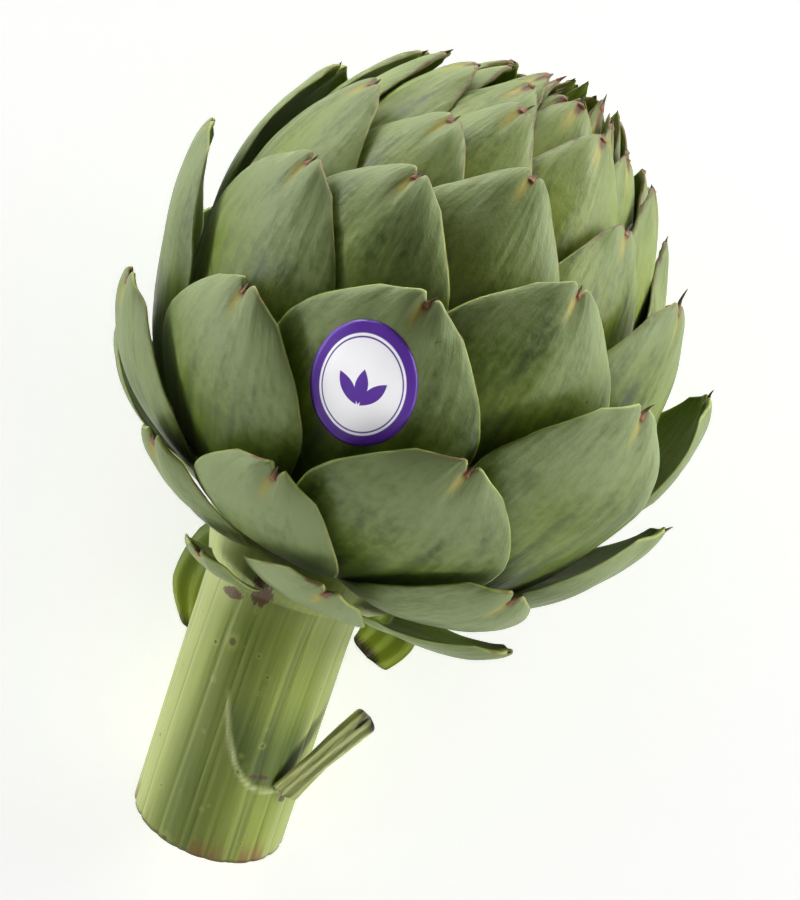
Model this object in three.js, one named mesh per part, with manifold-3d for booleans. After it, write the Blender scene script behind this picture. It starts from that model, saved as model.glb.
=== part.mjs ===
// Globe artichoke, picked with a short stalk and lying on its side.
// Millimetres, +Z up. The crown points along +X and a little upwards; the stalk
// runs down to the surface at -X. Angles are in degrees in the constants.
import * as THREE from 'three';
import Module from 'manifold-3d';
import { mergeVertices } from 'three/addons/utils/BufferGeometryUtils.js';

const wasm = await Module();
wasm.setup();

// ---- how the head lies ----
const HEAD_CENTRE = new THREE.Vector3(24.04, 0.13, 59.15);
const HEAD_RAISE = 19.4;          // crown axis above the horizontal

// ---- outer form of the head, measured from its centre ----
const HEAD_RADIUS = 57.5;         // widest ring
const CROWN_HEIGHT = 61;
const CROWN_POWER = 1.9;          // below 2 the crown is more pointed than a ball
const BASE_DEPTH = 57;
const FLAT_SIDE = 5.5;            // the crown's right side is this much flatter
const BASE_POWER = 2.5;           // above 2 the underside is flatter than a ball

// ---- spiral of the bracts ----
const SPIRAL_TURN = 137.508;      // from each bract to the next
const SPIRAL_START = -22.5;       // turn of bract 0 from straight up
const TIP_CLIMB = 0.057;          // how quickly the tips close in on the crown
const WIDEST_BRACT = 2;           // the bract whose tip stands on the widest ring
const LOWEST_BRACT = -18;
const LAST_LOOSE_BRACT = 29;
const LAST_BUD_BRACT = 66;
const LAYER_STEP = 0.55;          // how much deeper each bract lies than the one before

// ---- form of one bract ----
const HALF_ANGLE = 26;            // half of the head's turn that one bract covers
const BLUNT = 3.5;                // the smaller, the more pointed the tip
const SPREAD = 27;                // from the tip down to the full width
const TIP_SHIFT = 0.2;            // the tip's lobes lie off centre by this much
const CORNER_DROP = 4;
const NOTCH_DEPTH = 2.1;
const NOTCH_WIDTH = 1.3;
const KEEL_HEIGHT = 0.7;
const FLARE_REACH = 40;           // the top of a bract stands away over this length
const FLARE_LOW = 3.6;            // how far the tips stand away on the lower rings
const FLARE_HIGH = 1.0;           // and near the crown
const TIP_CURL = 1.2;             // the very tip turns in again
const TIP_CURL_REACH = 6;
const BRACT_THICKNESS = 1.25;
const EDGE_THICKNESS = 0.8;
const COLUMNS = [-1, -0.72, -0.4, 0, 0.4, 0.72, 1];
const BUD_COLUMNS = [-1, -0.5, 0, 0.5, 1];
const LOOSE_ROWS = 8;
const BUD_ROWS = 4;
const ROW_CROWDING = 1.25;        // rows stand closer together towards the tip
const BUD_BLADE_LENGTH = 36;
const BUD_WIDENING = 5;           // mm added to the axis distance that sets a bud blade's width
const ROOT_SINK = 6;              // how deep the bud's blades dive into its core

// Where a bract strays from the spiral: [turn in degrees, rise in mm, extra flare in mm].
const STRAYS = {
  '-18': [-4, 1, 0], '-13': [-8, 7, 0], '-11': [20, 3, -1], '-10': [-5, 1, -2],
  '-9': [0, 0, 0.8], '-5': [-6, 0, 0], '-4': [0, 0, 0.5], '-3': [23, -5, 1],
  '-2': [-2, 0, 1.5], '-1': [0, 0, -0.3], 0: [-3, 4, 0], 2: [16, -2, 1],
  3: [-1, -2, 0], 5: [1, 11, 0.6], 6: [-6, 3, 2.5], 7: [-8, 0, 4],
  10: [-22, -3, 4.5], 11: [-11, -1, 0], 13: [5, 3, 0], 14: [0, 2, 1],
  15: [0, 0, -2], 16: [0, -3, 0], 18: [0, -3, 3.5], 19: [-14, -1, 0],
  21: [9, 0, 0], 22: [-14, 0, 1], 23: [-2, 2, -2], 24: [-11, -4, 0],
  26: [0, -4, 0], 28: [0, 0, -0.6], 29: [9, 1, 0],
};
const BUD_SWAY = 6;               // degrees that the closed bud's blades stray, by a rule
const BUD_RISE = 1.5;             // and how far they stray up or down
const LOST_BRACTS = [-16, -15, -8];   // broken off in picking
const BENT_BRACTS = [-17, -14];   // bent back over the stalk: the two low leaves

// ---- heart of the head and stalk ----
const NECK_RADIUS = 16.2;
const NECK_DEPTH = 57;            // below the head's centre
const NECK_SHIFT = -3.3;          // sideways, where the stalk leaves the head
const HEART_RADIUS = 29;
const HEART_RIM_DEPTH = 38;
const HEART_TOP_DEPTH = 24;
const STALK_RADIUS = 15.9;
const STALK_END = new THREE.Vector3(-98.2, -14.9, 12);   // from the point under the head's centre
const STALK_BEND = new THREE.Vector3(-64, -6, 36.7);
const STALK_RIBS = 10;
const RIB_DEPTH = 0.45;
const STALK_SIDES = 40;
const STALK_RINGS = 9;
const CUT_SLOPE_LOW = -0.05;      // the cut leans: the lower side is a little shorter
const CUT_SLOPE_LEFT = -0.04;

const STALK_LEAF_ROOT = [-84.5, -27.1, 31.5];   // from the point under the head's centre
const STALK_LEAF_HEADING = -14;   // turned this much from the crown's direction
const STALK_LEAF_LENGTH = 20.8;
const LEAF_ARCH = 1.9;            // how far it arches up
const LEAF_CURVE = 2.3;           // radians of a sine wave over its length

const CORE_BRACT = 37;            // the bud's core follows the depth of this bract
const CAP_DEPTH = 5.5;            // and lies this deep at the crown
const CORE_SIDES = 28;
const CORE_RINGS = 12;

const GAP = 0.4;                  // clear space between separate pieces
const PRESSED = 0.8;              // how much of a bract the surface may flatten
const CUT_MARGIN = 40;

const LABEL_BRACT = 8;
const LABEL_HALF_WIDTH = 11;
const LABEL_HALF_HEIGHT = 13;
const LABEL_DOWN = 22.5;          // its centre, below the bract's tip
const LABEL_SIDE = 2;             // and to the left of it
const LABEL_TILT = -18;
const LABEL_THICKNESS = 0.6;
const LABEL_SIDES = 28;

const rad = THREE.MathUtils.degToRad;
const AXIS = new THREE.Vector3(Math.cos(rad(HEAD_RAISE)), 0, Math.sin(rad(HEAD_RAISE)));
const TOPWARD = new THREE.Vector3(-Math.sin(rad(HEAD_RAISE)), 0, Math.cos(rad(HEAD_RAISE)));
const SIDEWARD = new THREE.Vector3(0, 1, 0);

// ---- the head's law ----

// A point of the head: distance from its centre, angle down from the crown, turn about the axis.
function headPoint(radius, down, turn) {
  const out = radius * Math.sin(down);
  return HEAD_CENTRE.clone()
    .addScaledVector(AXIS, radius * Math.cos(down))
    .addScaledVector(TOPWARD, out * Math.cos(turn))
    .addScaledVector(SIDEWARD, out * Math.sin(turn));
}

function outerRadius(down, turn) {
  const upper = Math.cos(down) > 0;
  const power = upper ? CROWN_POWER : BASE_POWER;
  const height = upper ? CROWN_HEIGHT : BASE_DEPTH;
  const across = Math.abs(Math.sin(down)) / HEAD_RADIUS;
  const along = Math.abs(Math.cos(down)) / height;
  const flat = upper ? FLAT_SIDE * Math.sin(2 * down) * Math.max(0, -Math.sin(turn)) ** 2 : 0;
  return (across ** power + along ** power) ** (-1 / power) - flat;
}

function tipAngle(index) {
  return 2 * Math.atan(Math.exp(-TIP_CLIMB * (index - WIDEST_BRACT)));
}

// The bract whose tip the spiral puts at this angle, as a fraction.
function bractAtAngle(down) {
  return WIDEST_BRACT - Math.log(Math.tan(down / 2)) / TIP_CLIMB;
}

// How deep bract number index lies below the outer form at this angle.
function layerDepth(index, down) {
  return LAYER_STEP * (index - Math.max(bractAtAngle(down), LOWEST_BRACT - 1));
}

// The heart leans sideways towards the stalk.
function heartShift(depth) {
  return NECK_SHIFT * THREE.MathUtils.smoothstep(depth, HEART_TOP_DEPTH, NECK_DEPTH);
}

// Distance of a point of the head from the heart's flank and top.
function heartClearance(radius, down, turn) {
  const height = radius * Math.cos(down);
  const out = radius * Math.sin(down) - heartShift(-height) * Math.sin(turn);
  const run = HEART_RADIUS - NECK_RADIUS;
  const rise = NECK_DEPTH - HEART_RIM_DEPTH;
  const flank = ((out - NECK_RADIUS) * rise - (height + NECK_DEPTH) * run) / Math.hypot(run, rise);
  return Math.max(flank, height + HEART_TOP_DEPTH);
}

// Turn, rise and extra flare of one bract, away from the spiral.
function strayOf(index) {
  if (index <= LAST_LOOSE_BRACT) {
    return STRAYS[index] ?? [0, 0, 0];
  }
  return [BUD_SWAY * Math.sin(2.4 * index), BUD_RISE * Math.sin(1.7 * index), 0];
}

function makeBract(index) {
  const [turn, rise, extraFlare] = strayOf(index);
  const tip = tipAngle(index) - rise / HEAD_RADIUS;
  const heading = rad(SPIRAL_START + SPIRAL_TURN * index + turn);
  const settle = 1 / (1 + Math.exp((index - 8) / 5));
  const wanted = FLARE_HIGH + (FLARE_LOW - FLARE_HIGH) * settle + extraFlare;
  // A tip on the underside is pressed in by the surface it lies on.
  const bare = headPoint(outerRadius(tip, heading), tip, heading);
  const outward = headPoint(1, tip, heading).sub(HEAD_CENTRE);
  const room = outward.z < -0.1 ? (bare.z + PRESSED) / -outward.z : Infinity;
  const widening = index > LAST_LOOSE_BRACT ? BUD_WIDENING : 0;
  const spread = SPREAD * Math.min(1, (2 * Math.sin(tip)) ** 0.6);
  const bract = { index, tip, heading, widening, spread, flare: Math.min(wanted, room) };
  bract.length = bractLength(bract);
  return bract;
}

function bractRadius(bract, across, fall, turn) {
  const down = bract.tip + fall / HEAD_RADIUS;
  const away = 1 - THREE.MathUtils.smoothstep(fall, 0, FLARE_REACH);
  const curl = TIP_CURL * Math.exp(-fall / TIP_CURL_REACH);
  const keel = KEEL_HEIGHT * (1 - Math.abs(across));
  return outerRadius(down, turn) - layerDepth(bract.index, down) + bract.flare * away + keel - curl;
}

// Down the bract until it meets the heart.
function bractLength(bract) {
  const half = BRACT_THICKNESS + GAP;
  let fall = 0;
  while (fall < 2.2 * HEAD_RADIUS) {
    const down = bract.tip + fall / HEAD_RADIUS;
    const turns = [-1, 0, 1].map((side) => bract.heading + side * rad(HALF_ANGLE));
    const radius = (turn) => bractRadius(bract, 1, fall, turn) - half;
    if (turns.some((turn) => heartClearance(radius(turn), down, turn) < 0)) break;
    fall += 0.25;
  }
  return fall;
}

// A point of a bract. across runs from -1 to 1, fall is the distance below its tip.
function bractPoint(bract, across, fall, inward) {
  const widening = Math.min(1, (fall + BLUNT) / (bract.spread + BLUNT));
  const down = bract.tip + fall / HEAD_RADIUS;
  const fullAngle = rad(HALF_ANGLE) * (1 + bract.widening / (HEAD_RADIUS * Math.sin(down)));
  const halfAngle = fullAngle * Math.sin(Math.PI / 2 * widening);
  const shift = TIP_SHIFT * Math.max(0, 1 - fall / SPREAD) / (HEAD_RADIUS * Math.sin(down));
  const turn = bract.heading + halfAngle * across + shift;
  const thickness = THREE.MathUtils.lerp(BRACT_THICKNESS, EDGE_THICKNESS, across ** 2);
  return headPoint(bractRadius(bract, across, fall, turn) - inward * thickness, down, turn);
}

// The top edge falls at its corners and at the notch that carries the spine.
function topEdge(across, bract) {
  const halfWidth = HEAD_RADIUS * Math.sin(bract.tip) * rad(HALF_ANGLE) * 0.35;
  const notch = NOTCH_DEPTH * Math.exp(-((across * halfWidth / NOTCH_WIDTH) ** 2));
  return CORNER_DROP * across ** 2 + notch;
}

// ---- closed meshes ----

function toGeometry(points, triangles) {
  const geometry = new THREE.BufferGeometry();
  const numbers = points.flatMap((point) => point.toArray());
  geometry.setAttribute('position', new THREE.Float32BufferAttribute(numbers, 3));
  geometry.setIndex(triangles.flat());
  const inverted = signedVolume(geometry) < 0;
  return inverted ? toGeometry(points, triangles.map(([a, b, c]) => [a, c, b])) : geometry;
}

function signedVolume(geometry) {
  const position = geometry.getAttribute('position');
  const corners = [0, 1, 2].map(() => new THREE.Vector3());
  let sum = 0;
  for (let i = 0; i < geometry.index.count; i += 3) {
    corners.forEach((corner, k) => corner.fromBufferAttribute(position, geometry.index.getX(i + k)));
    sum += corners[0].dot(corners[1].clone().cross(corners[2]));
  }
  return sum / 6;
}

// A sheet with two faces and a rim, from rows of outer points and rows of inner points.
function sheetGeometry(outer, inner) {
  const rows = outer.length;
  const columns = outer[0].length;
  const points = [...outer.flat(), ...inner.flat()];
  const at = (row, column) => row * columns + column;
  const back = rows * columns;
  const triangles = [];
  for (let row = 0; row < rows - 1; row += 1) {
    for (let column = 0; column < columns - 1; column += 1) {
      const [a, b] = [at(row, column), at(row, column + 1)];
      const [c, d] = [at(row + 1, column + 1), at(row + 1, column)];
      triangles.push([a, b, c], [a, c, d]);
      triangles.push([back + a, back + c, back + b], [back + a, back + d, back + c]);
    }
  }
  const rim = [];
  for (let column = 0; column < columns - 1; column += 1) rim.push(at(0, column));
  for (let row = 0; row < rows - 1; row += 1) rim.push(at(row, columns - 1));
  for (let column = columns - 1; column > 0; column -= 1) rim.push(at(rows - 1, column));
  for (let row = rows - 1; row > 0; row -= 1) rim.push(at(row, 0));
  rim.forEach((a, i) => {
    const b = rim[(i + 1) % rim.length];
    triangles.push([a, back + b, b], [a, back + a, back + b]);
  });
  return toGeometry(points, triangles);
}

// A solid through rings of points, with a point closing each end.
function loftGeometry(rings, firstPole, lastPole) {
  const sides = rings[0].length;
  const points = [...rings.flat(), firstPole, lastPole];
  const first = points.length - 2;
  const last = points.length - 1;
  const triangles = [];
  for (let side = 0; side < sides; side += 1) {
    const next = (side + 1) % sides;
    for (let ring = 0; ring < rings.length - 1; ring += 1) {
      const [a, b] = [ring * sides + side, ring * sides + next];
      const [c, d] = [b + sides, a + sides];
      triangles.push([a, b, c], [a, c, d]);
    }
    const end = (rings.length - 1) * sides;
    triangles.push([first, next, side], [last, end + side, end + next]);
  }
  return toGeometry(points, triangles);
}

// ---- joining and cutting ----

function toSolid(geometry) {
  return new wasm.Manifold(new wasm.Mesh({
    numProp: 3,
    vertProperties: new Float32Array(geometry.getAttribute('position').array),
    triVerts: new Uint32Array(geometry.index.array),
  }));
}

function fromSolid(solid) {
  const { vertProperties, triVerts } = solid.getMesh();
  const geometry = new THREE.BufferGeometry();
  geometry.setAttribute('position', new THREE.BufferAttribute(vertProperties, 3));
  geometry.setIndex(new THREE.BufferAttribute(triVerts, 1));
  return geometry;
}

function boxSolid(low, high) {
  const size = high.clone().sub(low);
  const box = new THREE.BoxGeometry(size.x, size.y, size.z);
  const middle = low.clone().add(high).multiplyScalar(0.5);
  box.translate(middle.x, middle.y, middle.z);
  box.deleteAttribute('normal');
  box.deleteAttribute('uv');
  return toSolid(mergeVertices(box));
}

// Whatever the surface presses flat is cut level with it.
function restOnSurface(geometry) {
  geometry.computeBoundingBox();
  const { min, max } = geometry.boundingBox;
  if (min.z >= 0) return geometry;
  const below = boxSolid(
    new THREE.Vector3(min.x - CUT_MARGIN, min.y - CUT_MARGIN, -CUT_MARGIN),
    new THREE.Vector3(max.x + CUT_MARGIN, max.y + CUT_MARGIN, 0),
  );
  return fromSolid(toSolid(geometry).subtract(below));
}

// ---- pieces ----

function bractGeometry(bract) {
  const faces = [0, 1].map((inward) => {
    const rows = [];
    for (let row = 0; row <= LOOSE_ROWS; row += 1) {
      const share = (row / LOOSE_ROWS) ** ROW_CROWDING;
      rows.push(COLUMNS.map((across) => {
        const fall = THREE.MathUtils.lerp(topEdge(across, bract), bract.length, share);
        return bractPoint(bract, across, fall, inward);
      }));
    }
    return rows;
  });
  return sheetGeometry(faces[0], faces[1]);
}

// A blade of the bud dives into the core at its lower end.
function budBladeGeometry(bract) {
  const length = Math.min(BUD_BLADE_LENGTH, bract.length);
  const faces = [0, 1].map((inward) => {
    const rows = [];
    for (let row = 0; row <= BUD_ROWS; row += 1) {
      const share = row / BUD_ROWS;
      const sink = ROOT_SINK * share ** 3;
      rows.push(BUD_COLUMNS.map((across) => {
        const fall = THREE.MathUtils.lerp(topEdge(across, bract), length, share);
        const point = bractPoint(bract, across, fall, inward);
        const toCentre = HEAD_CENTRE.clone().sub(point).normalize();
        return point.addScaledVector(toCentre, sink);
      }));
    }
    return rows;
  });
  return sheetGeometry(faces[0], faces[1]);
}

function coreGeometry() {
  const radiusAt = (down, turn) => (
    outerRadius(down, turn) - Math.max(CAP_DEPTH, layerDepth(CORE_BRACT, down))
  );
  let lowest = Math.PI / 2;
  while (heartClearance(radiusAt(lowest, 0), lowest, 0) > GAP) lowest += 0.002;
  const rings = [];
  for (let ring = 1; ring <= CORE_RINGS; ring += 1) {
    const down = lowest * ring / CORE_RINGS;
    const turns = Array.from({ length: CORE_SIDES }, (_, side) => 2 * Math.PI * side / CORE_SIDES);
    rings.push(turns.map((turn) => headPoint(radiusAt(down, turn), down, turn)));
  }
  const floorDepth = -radiusAt(lowest, 0) * Math.cos(lowest);
  return loftGeometry(rings, headPoint(radiusAt(0.001, 0), 0, 0), headPoint(floorDepth, Math.PI, 0));
}

function budGeometry() {
  let bud = toSolid(coreGeometry());
  for (let index = LAST_LOOSE_BRACT + 1; index <= LAST_BUD_BRACT; index += 1) {
    bud = bud.add(toSolid(budBladeGeometry(makeBract(index))));
  }
  const largest = bud.decompose().reduce((a, b) => (a.volume() > b.volume() ? a : b));
  return fromSolid(largest);
}

// Heart and stalk grow as one piece.
function stalkGeometry() {
  const under = new THREE.Vector3(HEAD_CENTRE.x, HEAD_CENTRE.y, 0);
  const heartPoint = (depth) => HEAD_CENTRE.clone()
    .addScaledVector(AXIS, -depth)
    .addScaledVector(SIDEWARD, heartShift(depth));
  const neck = heartPoint(NECK_DEPTH);
  const end = STALK_END.clone().add(under);
  const path = new THREE.QuadraticBezierCurve3(neck, STALK_BEND.clone().add(under), end);
  const rings = [];
  const heart = [
    [HEART_TOP_DEPTH + 1, HEART_RADIUS - 14],
    [HEART_TOP_DEPTH + 5, HEART_RADIUS - 3.5],
    [HEART_RIM_DEPTH, HEART_RADIUS],
    [(HEART_RIM_DEPTH + NECK_DEPTH) / 2, (HEART_RADIUS + NECK_RADIUS) / 2],
  ];
  const ringAt = (centre, along, radius, ribs, slopes) => {
    const right = SIDEWARD.clone().addScaledVector(along, -SIDEWARD.dot(along)).normalize();
    const lower = new THREE.Vector3().crossVectors(along, right).normalize();
    return Array.from({ length: STALK_SIDES }, (_, side) => {
      const angle = 2 * Math.PI * side / STALK_SIDES;
      const reach = radius + ribs * Math.cos(STALK_RIBS * angle);
      const longer = reach * (slopes[0] * Math.cos(angle) + slopes[1] * Math.sin(angle));
      return centre.clone()
        .addScaledVector(lower, reach * Math.cos(angle))
        .addScaledVector(right, reach * Math.sin(angle))
        .addScaledVector(along, longer);
    });
  };
  const downward = AXIS.clone().negate();
  for (const [depth, radius] of heart) {
    rings.push(ringAt(heartPoint(depth), downward, radius, 0, [0, 0]));
  }
  for (let ring = 0; ring <= STALK_RINGS; ring += 1) {
    const share = ring / STALK_RINGS;
    const centre = path.getPoint(share);
    const along = path.getTangent(share);
    const radius = THREE.MathUtils.lerp(NECK_RADIUS, STALK_RADIUS, Math.min(1, share * 4));
    const cut = share ** 4;
    const ribs = RIB_DEPTH * Math.min(1, share * 4);
    rings.push(ringAt(centre, along, radius, ribs, [CUT_SLOPE_LOW * cut, CUT_SLOPE_LEFT * cut]));
  }
  return restOnSurface(loftGeometry(rings, heartPoint(HEART_TOP_DEPTH), end));
}

// A leaf-like piece along a curved middle line. Its face looks along the given direction.
function bladeGeometry({ line, halfWidths, face, thickness, cup }) {
  const curve = new THREE.CatmullRomCurve3(line.map((p) => new THREE.Vector3(...p)));
  const rows = 8;
  const faces = [0, 1].map((inward) => Array.from({ length: rows + 1 }, (_, row) => {
    const share = row / rows;
    const centre = curve.getPoint(share);
    const along = curve.getTangent(share);
    const side = new THREE.Vector3().crossVectors(new THREE.Vector3(...face), along).normalize();
    const normal = new THREE.Vector3().crossVectors(along, side);
    const place = share * (halfWidths.length - 1);
    const step = Math.min(Math.floor(place), halfWidths.length - 2);
    const halfWidth = THREE.MathUtils.lerp(halfWidths[step], halfWidths[step + 1], place - step);
    return BUD_COLUMNS.map((across) => centre.clone()
      .addScaledVector(side, across * halfWidth)
      .addScaledVector(normal, cup * halfWidth * across ** 2 - inward * thickness));
  }));
  return sheetGeometry(faces[0], faces[1]);
}

// An oval sticker that follows the bract it is stuck on.
function labelGeometry() {
  const bract = makeBract(LABEL_BRACT);
  const tilt = rad(LABEL_TILT);
  const place = (share, side, lift) => {
    const angle = 2 * Math.PI * side / LABEL_SIDES;
    const x = share * LABEL_HALF_WIDTH * Math.cos(angle);
    const y = share * LABEL_HALF_HEIGHT * Math.sin(angle);
    const fall = LABEL_DOWN + y * Math.cos(tilt) - x * Math.sin(tilt);
    const left = LABEL_SIDE + x * Math.cos(tilt) + y * Math.sin(tilt);
    const down = bract.tip + fall / HEAD_RADIUS;
    const turn = left / (HEAD_RADIUS * Math.sin(down));
    const across = turn / rad(HALF_ANGLE);
    const heading = bract.heading + turn;
    const under = bractRadius(bract, across, fall, heading) + KEEL_HEIGHT * 0.3;
    return headPoint(under + lift, down, heading);
  };
  const ring = (share, lift) => (
    Array.from({ length: LABEL_SIDES }, (_, side) => place(share, side, lift))
  );
  const [low, high] = [GAP, GAP + LABEL_THICKNESS];
  const rings = [ring(0.5, low), ring(1, low), ring(1, high), ring(0.5, high)];
  return loftGeometry(rings, place(0, 0, low), place(0, 0, high));
}

// ---- colours and the finished group ----

const outerGreen = new THREE.MeshStandardMaterial({ color: 0x6f8a52, roughness: 0.6, metalness: 0 });
const budGreen = new THREE.MeshStandardMaterial({ color: 0x7d9250, roughness: 0.6, metalness: 0 });
const stalkGreen = new THREE.MeshStandardMaterial({ color: 0x8a9f47, roughness: 0.55, metalness: 0 });
const leafGreen = new THREE.MeshStandardMaterial({ color: 0x7f9640, roughness: 0.6, metalness: 0 });
const labelWhite = new THREE.MeshStandardMaterial({ color: 0xece8f2, roughness: 0.4, metalness: 0 });

// Four points along a leaf that runs straight out and arches up a little.
function archedLine(root, heading, length) {
  return [0, 1 / 3, 2 / 3, 1].map((share) => [
    root[0] + share * length * Math.cos(rad(heading)),
    root[1] + share * length * Math.sin(rad(heading)),
    root[2] + LEAF_ARCH * Math.sin(LEAF_CURVE * share),
  ]);
}

const LOW_LEAVES = {
  leaf_low_left: {
    line: [[-45, 11, 23.4], [-52.6, 14.5, 20], [-61, 14, 17.5], [-69, 9.5, 15]],
    halfWidths: [5, 6.5, 6, 2],
    face: [0, 0.2, 1],
    thickness: 1.1,
    cup: 0.12,
  },
  leaf_low_right: {
    line: [[-33, -21, 18], [-40, -23, 17], [-47, -24, 15.5], [-53, -23, 14]],
    halfWidths: [5, 6, 5.5, 3],
    face: [0, -0.2, 1],
    thickness: 1.1,
    cup: 0.12,
  },
  stalk_leaf: {
    line: archedLine(STALK_LEAF_ROOT, STALK_LEAF_HEADING, STALK_LEAF_LENGTH),
    halfWidths: [2.4, 2.4, 2.7, 2.2],
    face: [0.2, -0.6, 0.8],
    thickness: 1.3,
    cup: 0.15,
  },
};

const artichoke = new THREE.Group();

function place(name, geometry, material) {
  const mesh = new THREE.Mesh(geometry, material);
  mesh.name = name;
  artichoke.add(mesh);
}

place('stalk', stalkGeometry(), stalkGreen);
for (let index = LOWEST_BRACT; index <= LAST_LOOSE_BRACT; index += 1) {
  if (LOST_BRACTS.includes(index) || BENT_BRACTS.includes(index)) continue;
  const number = String(index - LOWEST_BRACT + 1).padStart(2, '0');
  place(`bract_${number}`, restOnSurface(bractGeometry(makeBract(index))), outerGreen);
}
place('bud', budGeometry(), budGreen);
for (const [name, leaf] of Object.entries(LOW_LEAVES)) {
  const geometry = bladeGeometry(leaf);
  geometry.translate(HEAD_CENTRE.x, HEAD_CENTRE.y, 0);
  place(name, geometry, leafGreen);
}
place('label', labelGeometry(), labelWhite);

export default artichoke;
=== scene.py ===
"""Globe artichoke with a short cut stalk, lying on its side on a pale floor."""

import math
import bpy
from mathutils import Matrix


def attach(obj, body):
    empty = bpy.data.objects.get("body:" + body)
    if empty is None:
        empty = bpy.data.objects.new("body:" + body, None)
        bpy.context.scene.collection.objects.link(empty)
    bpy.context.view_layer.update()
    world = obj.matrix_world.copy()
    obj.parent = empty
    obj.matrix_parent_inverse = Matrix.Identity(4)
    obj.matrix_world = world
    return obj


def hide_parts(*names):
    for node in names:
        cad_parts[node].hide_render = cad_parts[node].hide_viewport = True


bl_info = {
    "name": "Artichoke",
    "version": (1, 0, 0),
    "blender": (4, 5, 0),
    "location": "3D View > Sidebar > Artichoke",
    "description": "Makes the bracts, bud, stalk, leaves and sticker of an artichoke",
    "category": "Object",
}

import bmesh
import bpy
import numpy as np
from mathutils import Matrix, Vector

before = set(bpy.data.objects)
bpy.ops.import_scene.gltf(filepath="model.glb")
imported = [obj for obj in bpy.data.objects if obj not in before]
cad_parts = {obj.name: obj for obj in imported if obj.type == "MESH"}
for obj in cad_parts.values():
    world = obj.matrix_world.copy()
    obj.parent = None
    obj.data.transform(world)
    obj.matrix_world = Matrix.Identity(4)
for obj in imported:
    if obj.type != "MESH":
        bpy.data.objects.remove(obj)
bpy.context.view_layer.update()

MM = 0.001

# How the head lies, in millimetres and degrees.
HEAD_CENTRE = (24.04, 0.13, 59.15)
HEAD_RAISE = 19.4

# The outer form of the head, measured from its centre.
HEAD_RADIUS = 57.5
CROWN_HEIGHT = 61
CROWN_POWER = 1.9
BASE_DEPTH = 57
BASE_POWER = 2.5
FLAT_SIDE = 5.5

# The spiral of the bracts.
SPIRAL_TURN = 137.508
SPIRAL_START = -22.5
TIP_CLIMB = 0.057
WIDEST_BRACT = 2
LOWEST_BRACT = -18
LAST_LOOSE_BRACT = 29
LAST_BUD_BRACT = 66
LAYER_STEP = 0.55

# The form of one bract.
HALF_ANGLE = 26
BLUNT = 3.5
SPREAD = 27
FLARE_REACH = 40
FLARE_LOW = 3.6
FLARE_HIGH = 1.0
TIP_CURL = 1.2
TIP_CURL_REACH = 6
BUD_WIDENING = 5
BUD_BLADE_LENGTH = 38
PRESSED = 0.8

# Where a bract strays from the spiral: turn in degrees, rise in mm, extra flare in mm.
STRAYS = {
    -18: (-4, 1, 0), -13: (-8, 7, 0), -11: (20, 3, -1), -10: (-5, 1, -2),
    -9: (0, 0, 0.8), -5: (-6, 0, 0), -4: (0, 0, 0.5), -3: (23, -5, 1),
    -2: (-2, 0, 1.5), -1: (0, 0, -0.3), 0: (-3, 4, 0), 2: (16, -2, 1),
    3: (-1, -2, 0), 5: (1, 11, 0.6), 6: (-6, 3, 2.5), 7: (-8, 0, 4),
    10: (-22, -3, 4.5), 11: (-11, -1, 0), 13: (5, 3, 0), 14: (0, 2, 1),
    15: (0, 0, -2), 16: (0, -3, 0), 18: (0, -3, 3.5), 19: (-14, -1, 0),
    21: (9, 0, 0), 22: (-14, 0, 1), 23: (-2, 2, -2), 24: (-11, -4, 0),
    26: (0, -4, 0), 28: (0, 0, -0.6), 29: (9, 1, 0),
}
# The closed bud's blades stray by a rule: degrees, and mm up or down.
BUD_SWAY = 6
BUD_SWAY_STEP = 2.4
BUD_RISE = 1.5
BUD_RISE_STEP = 1.7
LOST_BRACTS = (-16, -15, -8)
BENT_BRACTS = (-17, -14)
LONG_SPINES = {18: 4.2, 10: 3.0, 2: 2.6, -3: 2.4, 5: 2.6}

# The heart of the head and the stalk.
NECK_RADIUS = 16.2
NECK_DEPTH = 57
NECK_SHIFT = -3.3
HEART_RADIUS = 29
HEART_RIM_DEPTH = 38
HEART_TOP_DEPTH = 24
STALK_RADIUS = 15.9
STALK_END = (-98.2, -14.9, 12)
STALK_BEND = (-64, -6, 36.7)
RIB_HEIGHT = 0.28
FURROWS = (62, 43, 20, 2, -4, -19, -36, -40, -57, -76, -97, -120, -142, -165, 172, 150, 128, 105, 84)
CUT_SLOPE_UP = 0.05
CUT_SLOPE_LEFT = -0.04

# The leaf on the stalk, and the U where it clasps the stalk.
STALK_LEAF_ROOT = (-84.5, -27.1, 31.5)
STALK_LEAF_HEADING = -14
STALK_LEAF_LENGTH = 20.8
LEAF_ARCH = 1.9
LEAF_CURVE = 2.3
LEAF_TUCK = 0.15
LEAF_SINK = 1.4
CLASP_END = -68
CLASP_MIDDLE = -50
CLASP_HALF_ANGLE = 45
CLASP_BOTTOM = 37
CLASP_HEIGHT = 13.5
CLASP_CURVE = 2.5

# The core under the bud's blades.
CROWN_CORE_BRACT = 46
BASE_CORE_BRACT = 33
CAP_DEPTH = 7

# The sticker and the bract it is stuck on.
LABEL_BRACT = 8
LABEL_HALF_WIDTH = 11
LABEL_HALF_HEIGHT = 13
LABEL_DOWN = 22.5
LABEL_SIDE = 2
LABEL_TILT = -18

# The camera.
CAMERA_AZIMUTH = -55
CAMERA_HEIGHT = 80
CAMERA_DISTANCE = 850
CAMERA_SIDE = -4.6
CAMERA_RISE = -20.4
CAMERA_LENS = 170

# The light: round the sides, and overhead.
WALL_GLOW = 17.0
WALL_TOP = (0.05, 0.2)
CEILING_GLOW = 0.24
BRIGHT_SIDE = (0.95, 0.31)
BRIGHT_SIDE_SHARE = 0.6
FLOOR_GLOW = 0.5
LEFT_LIGHT_POWER = 0.4
RIGHT_LIGHT_POWER = 2.8

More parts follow.
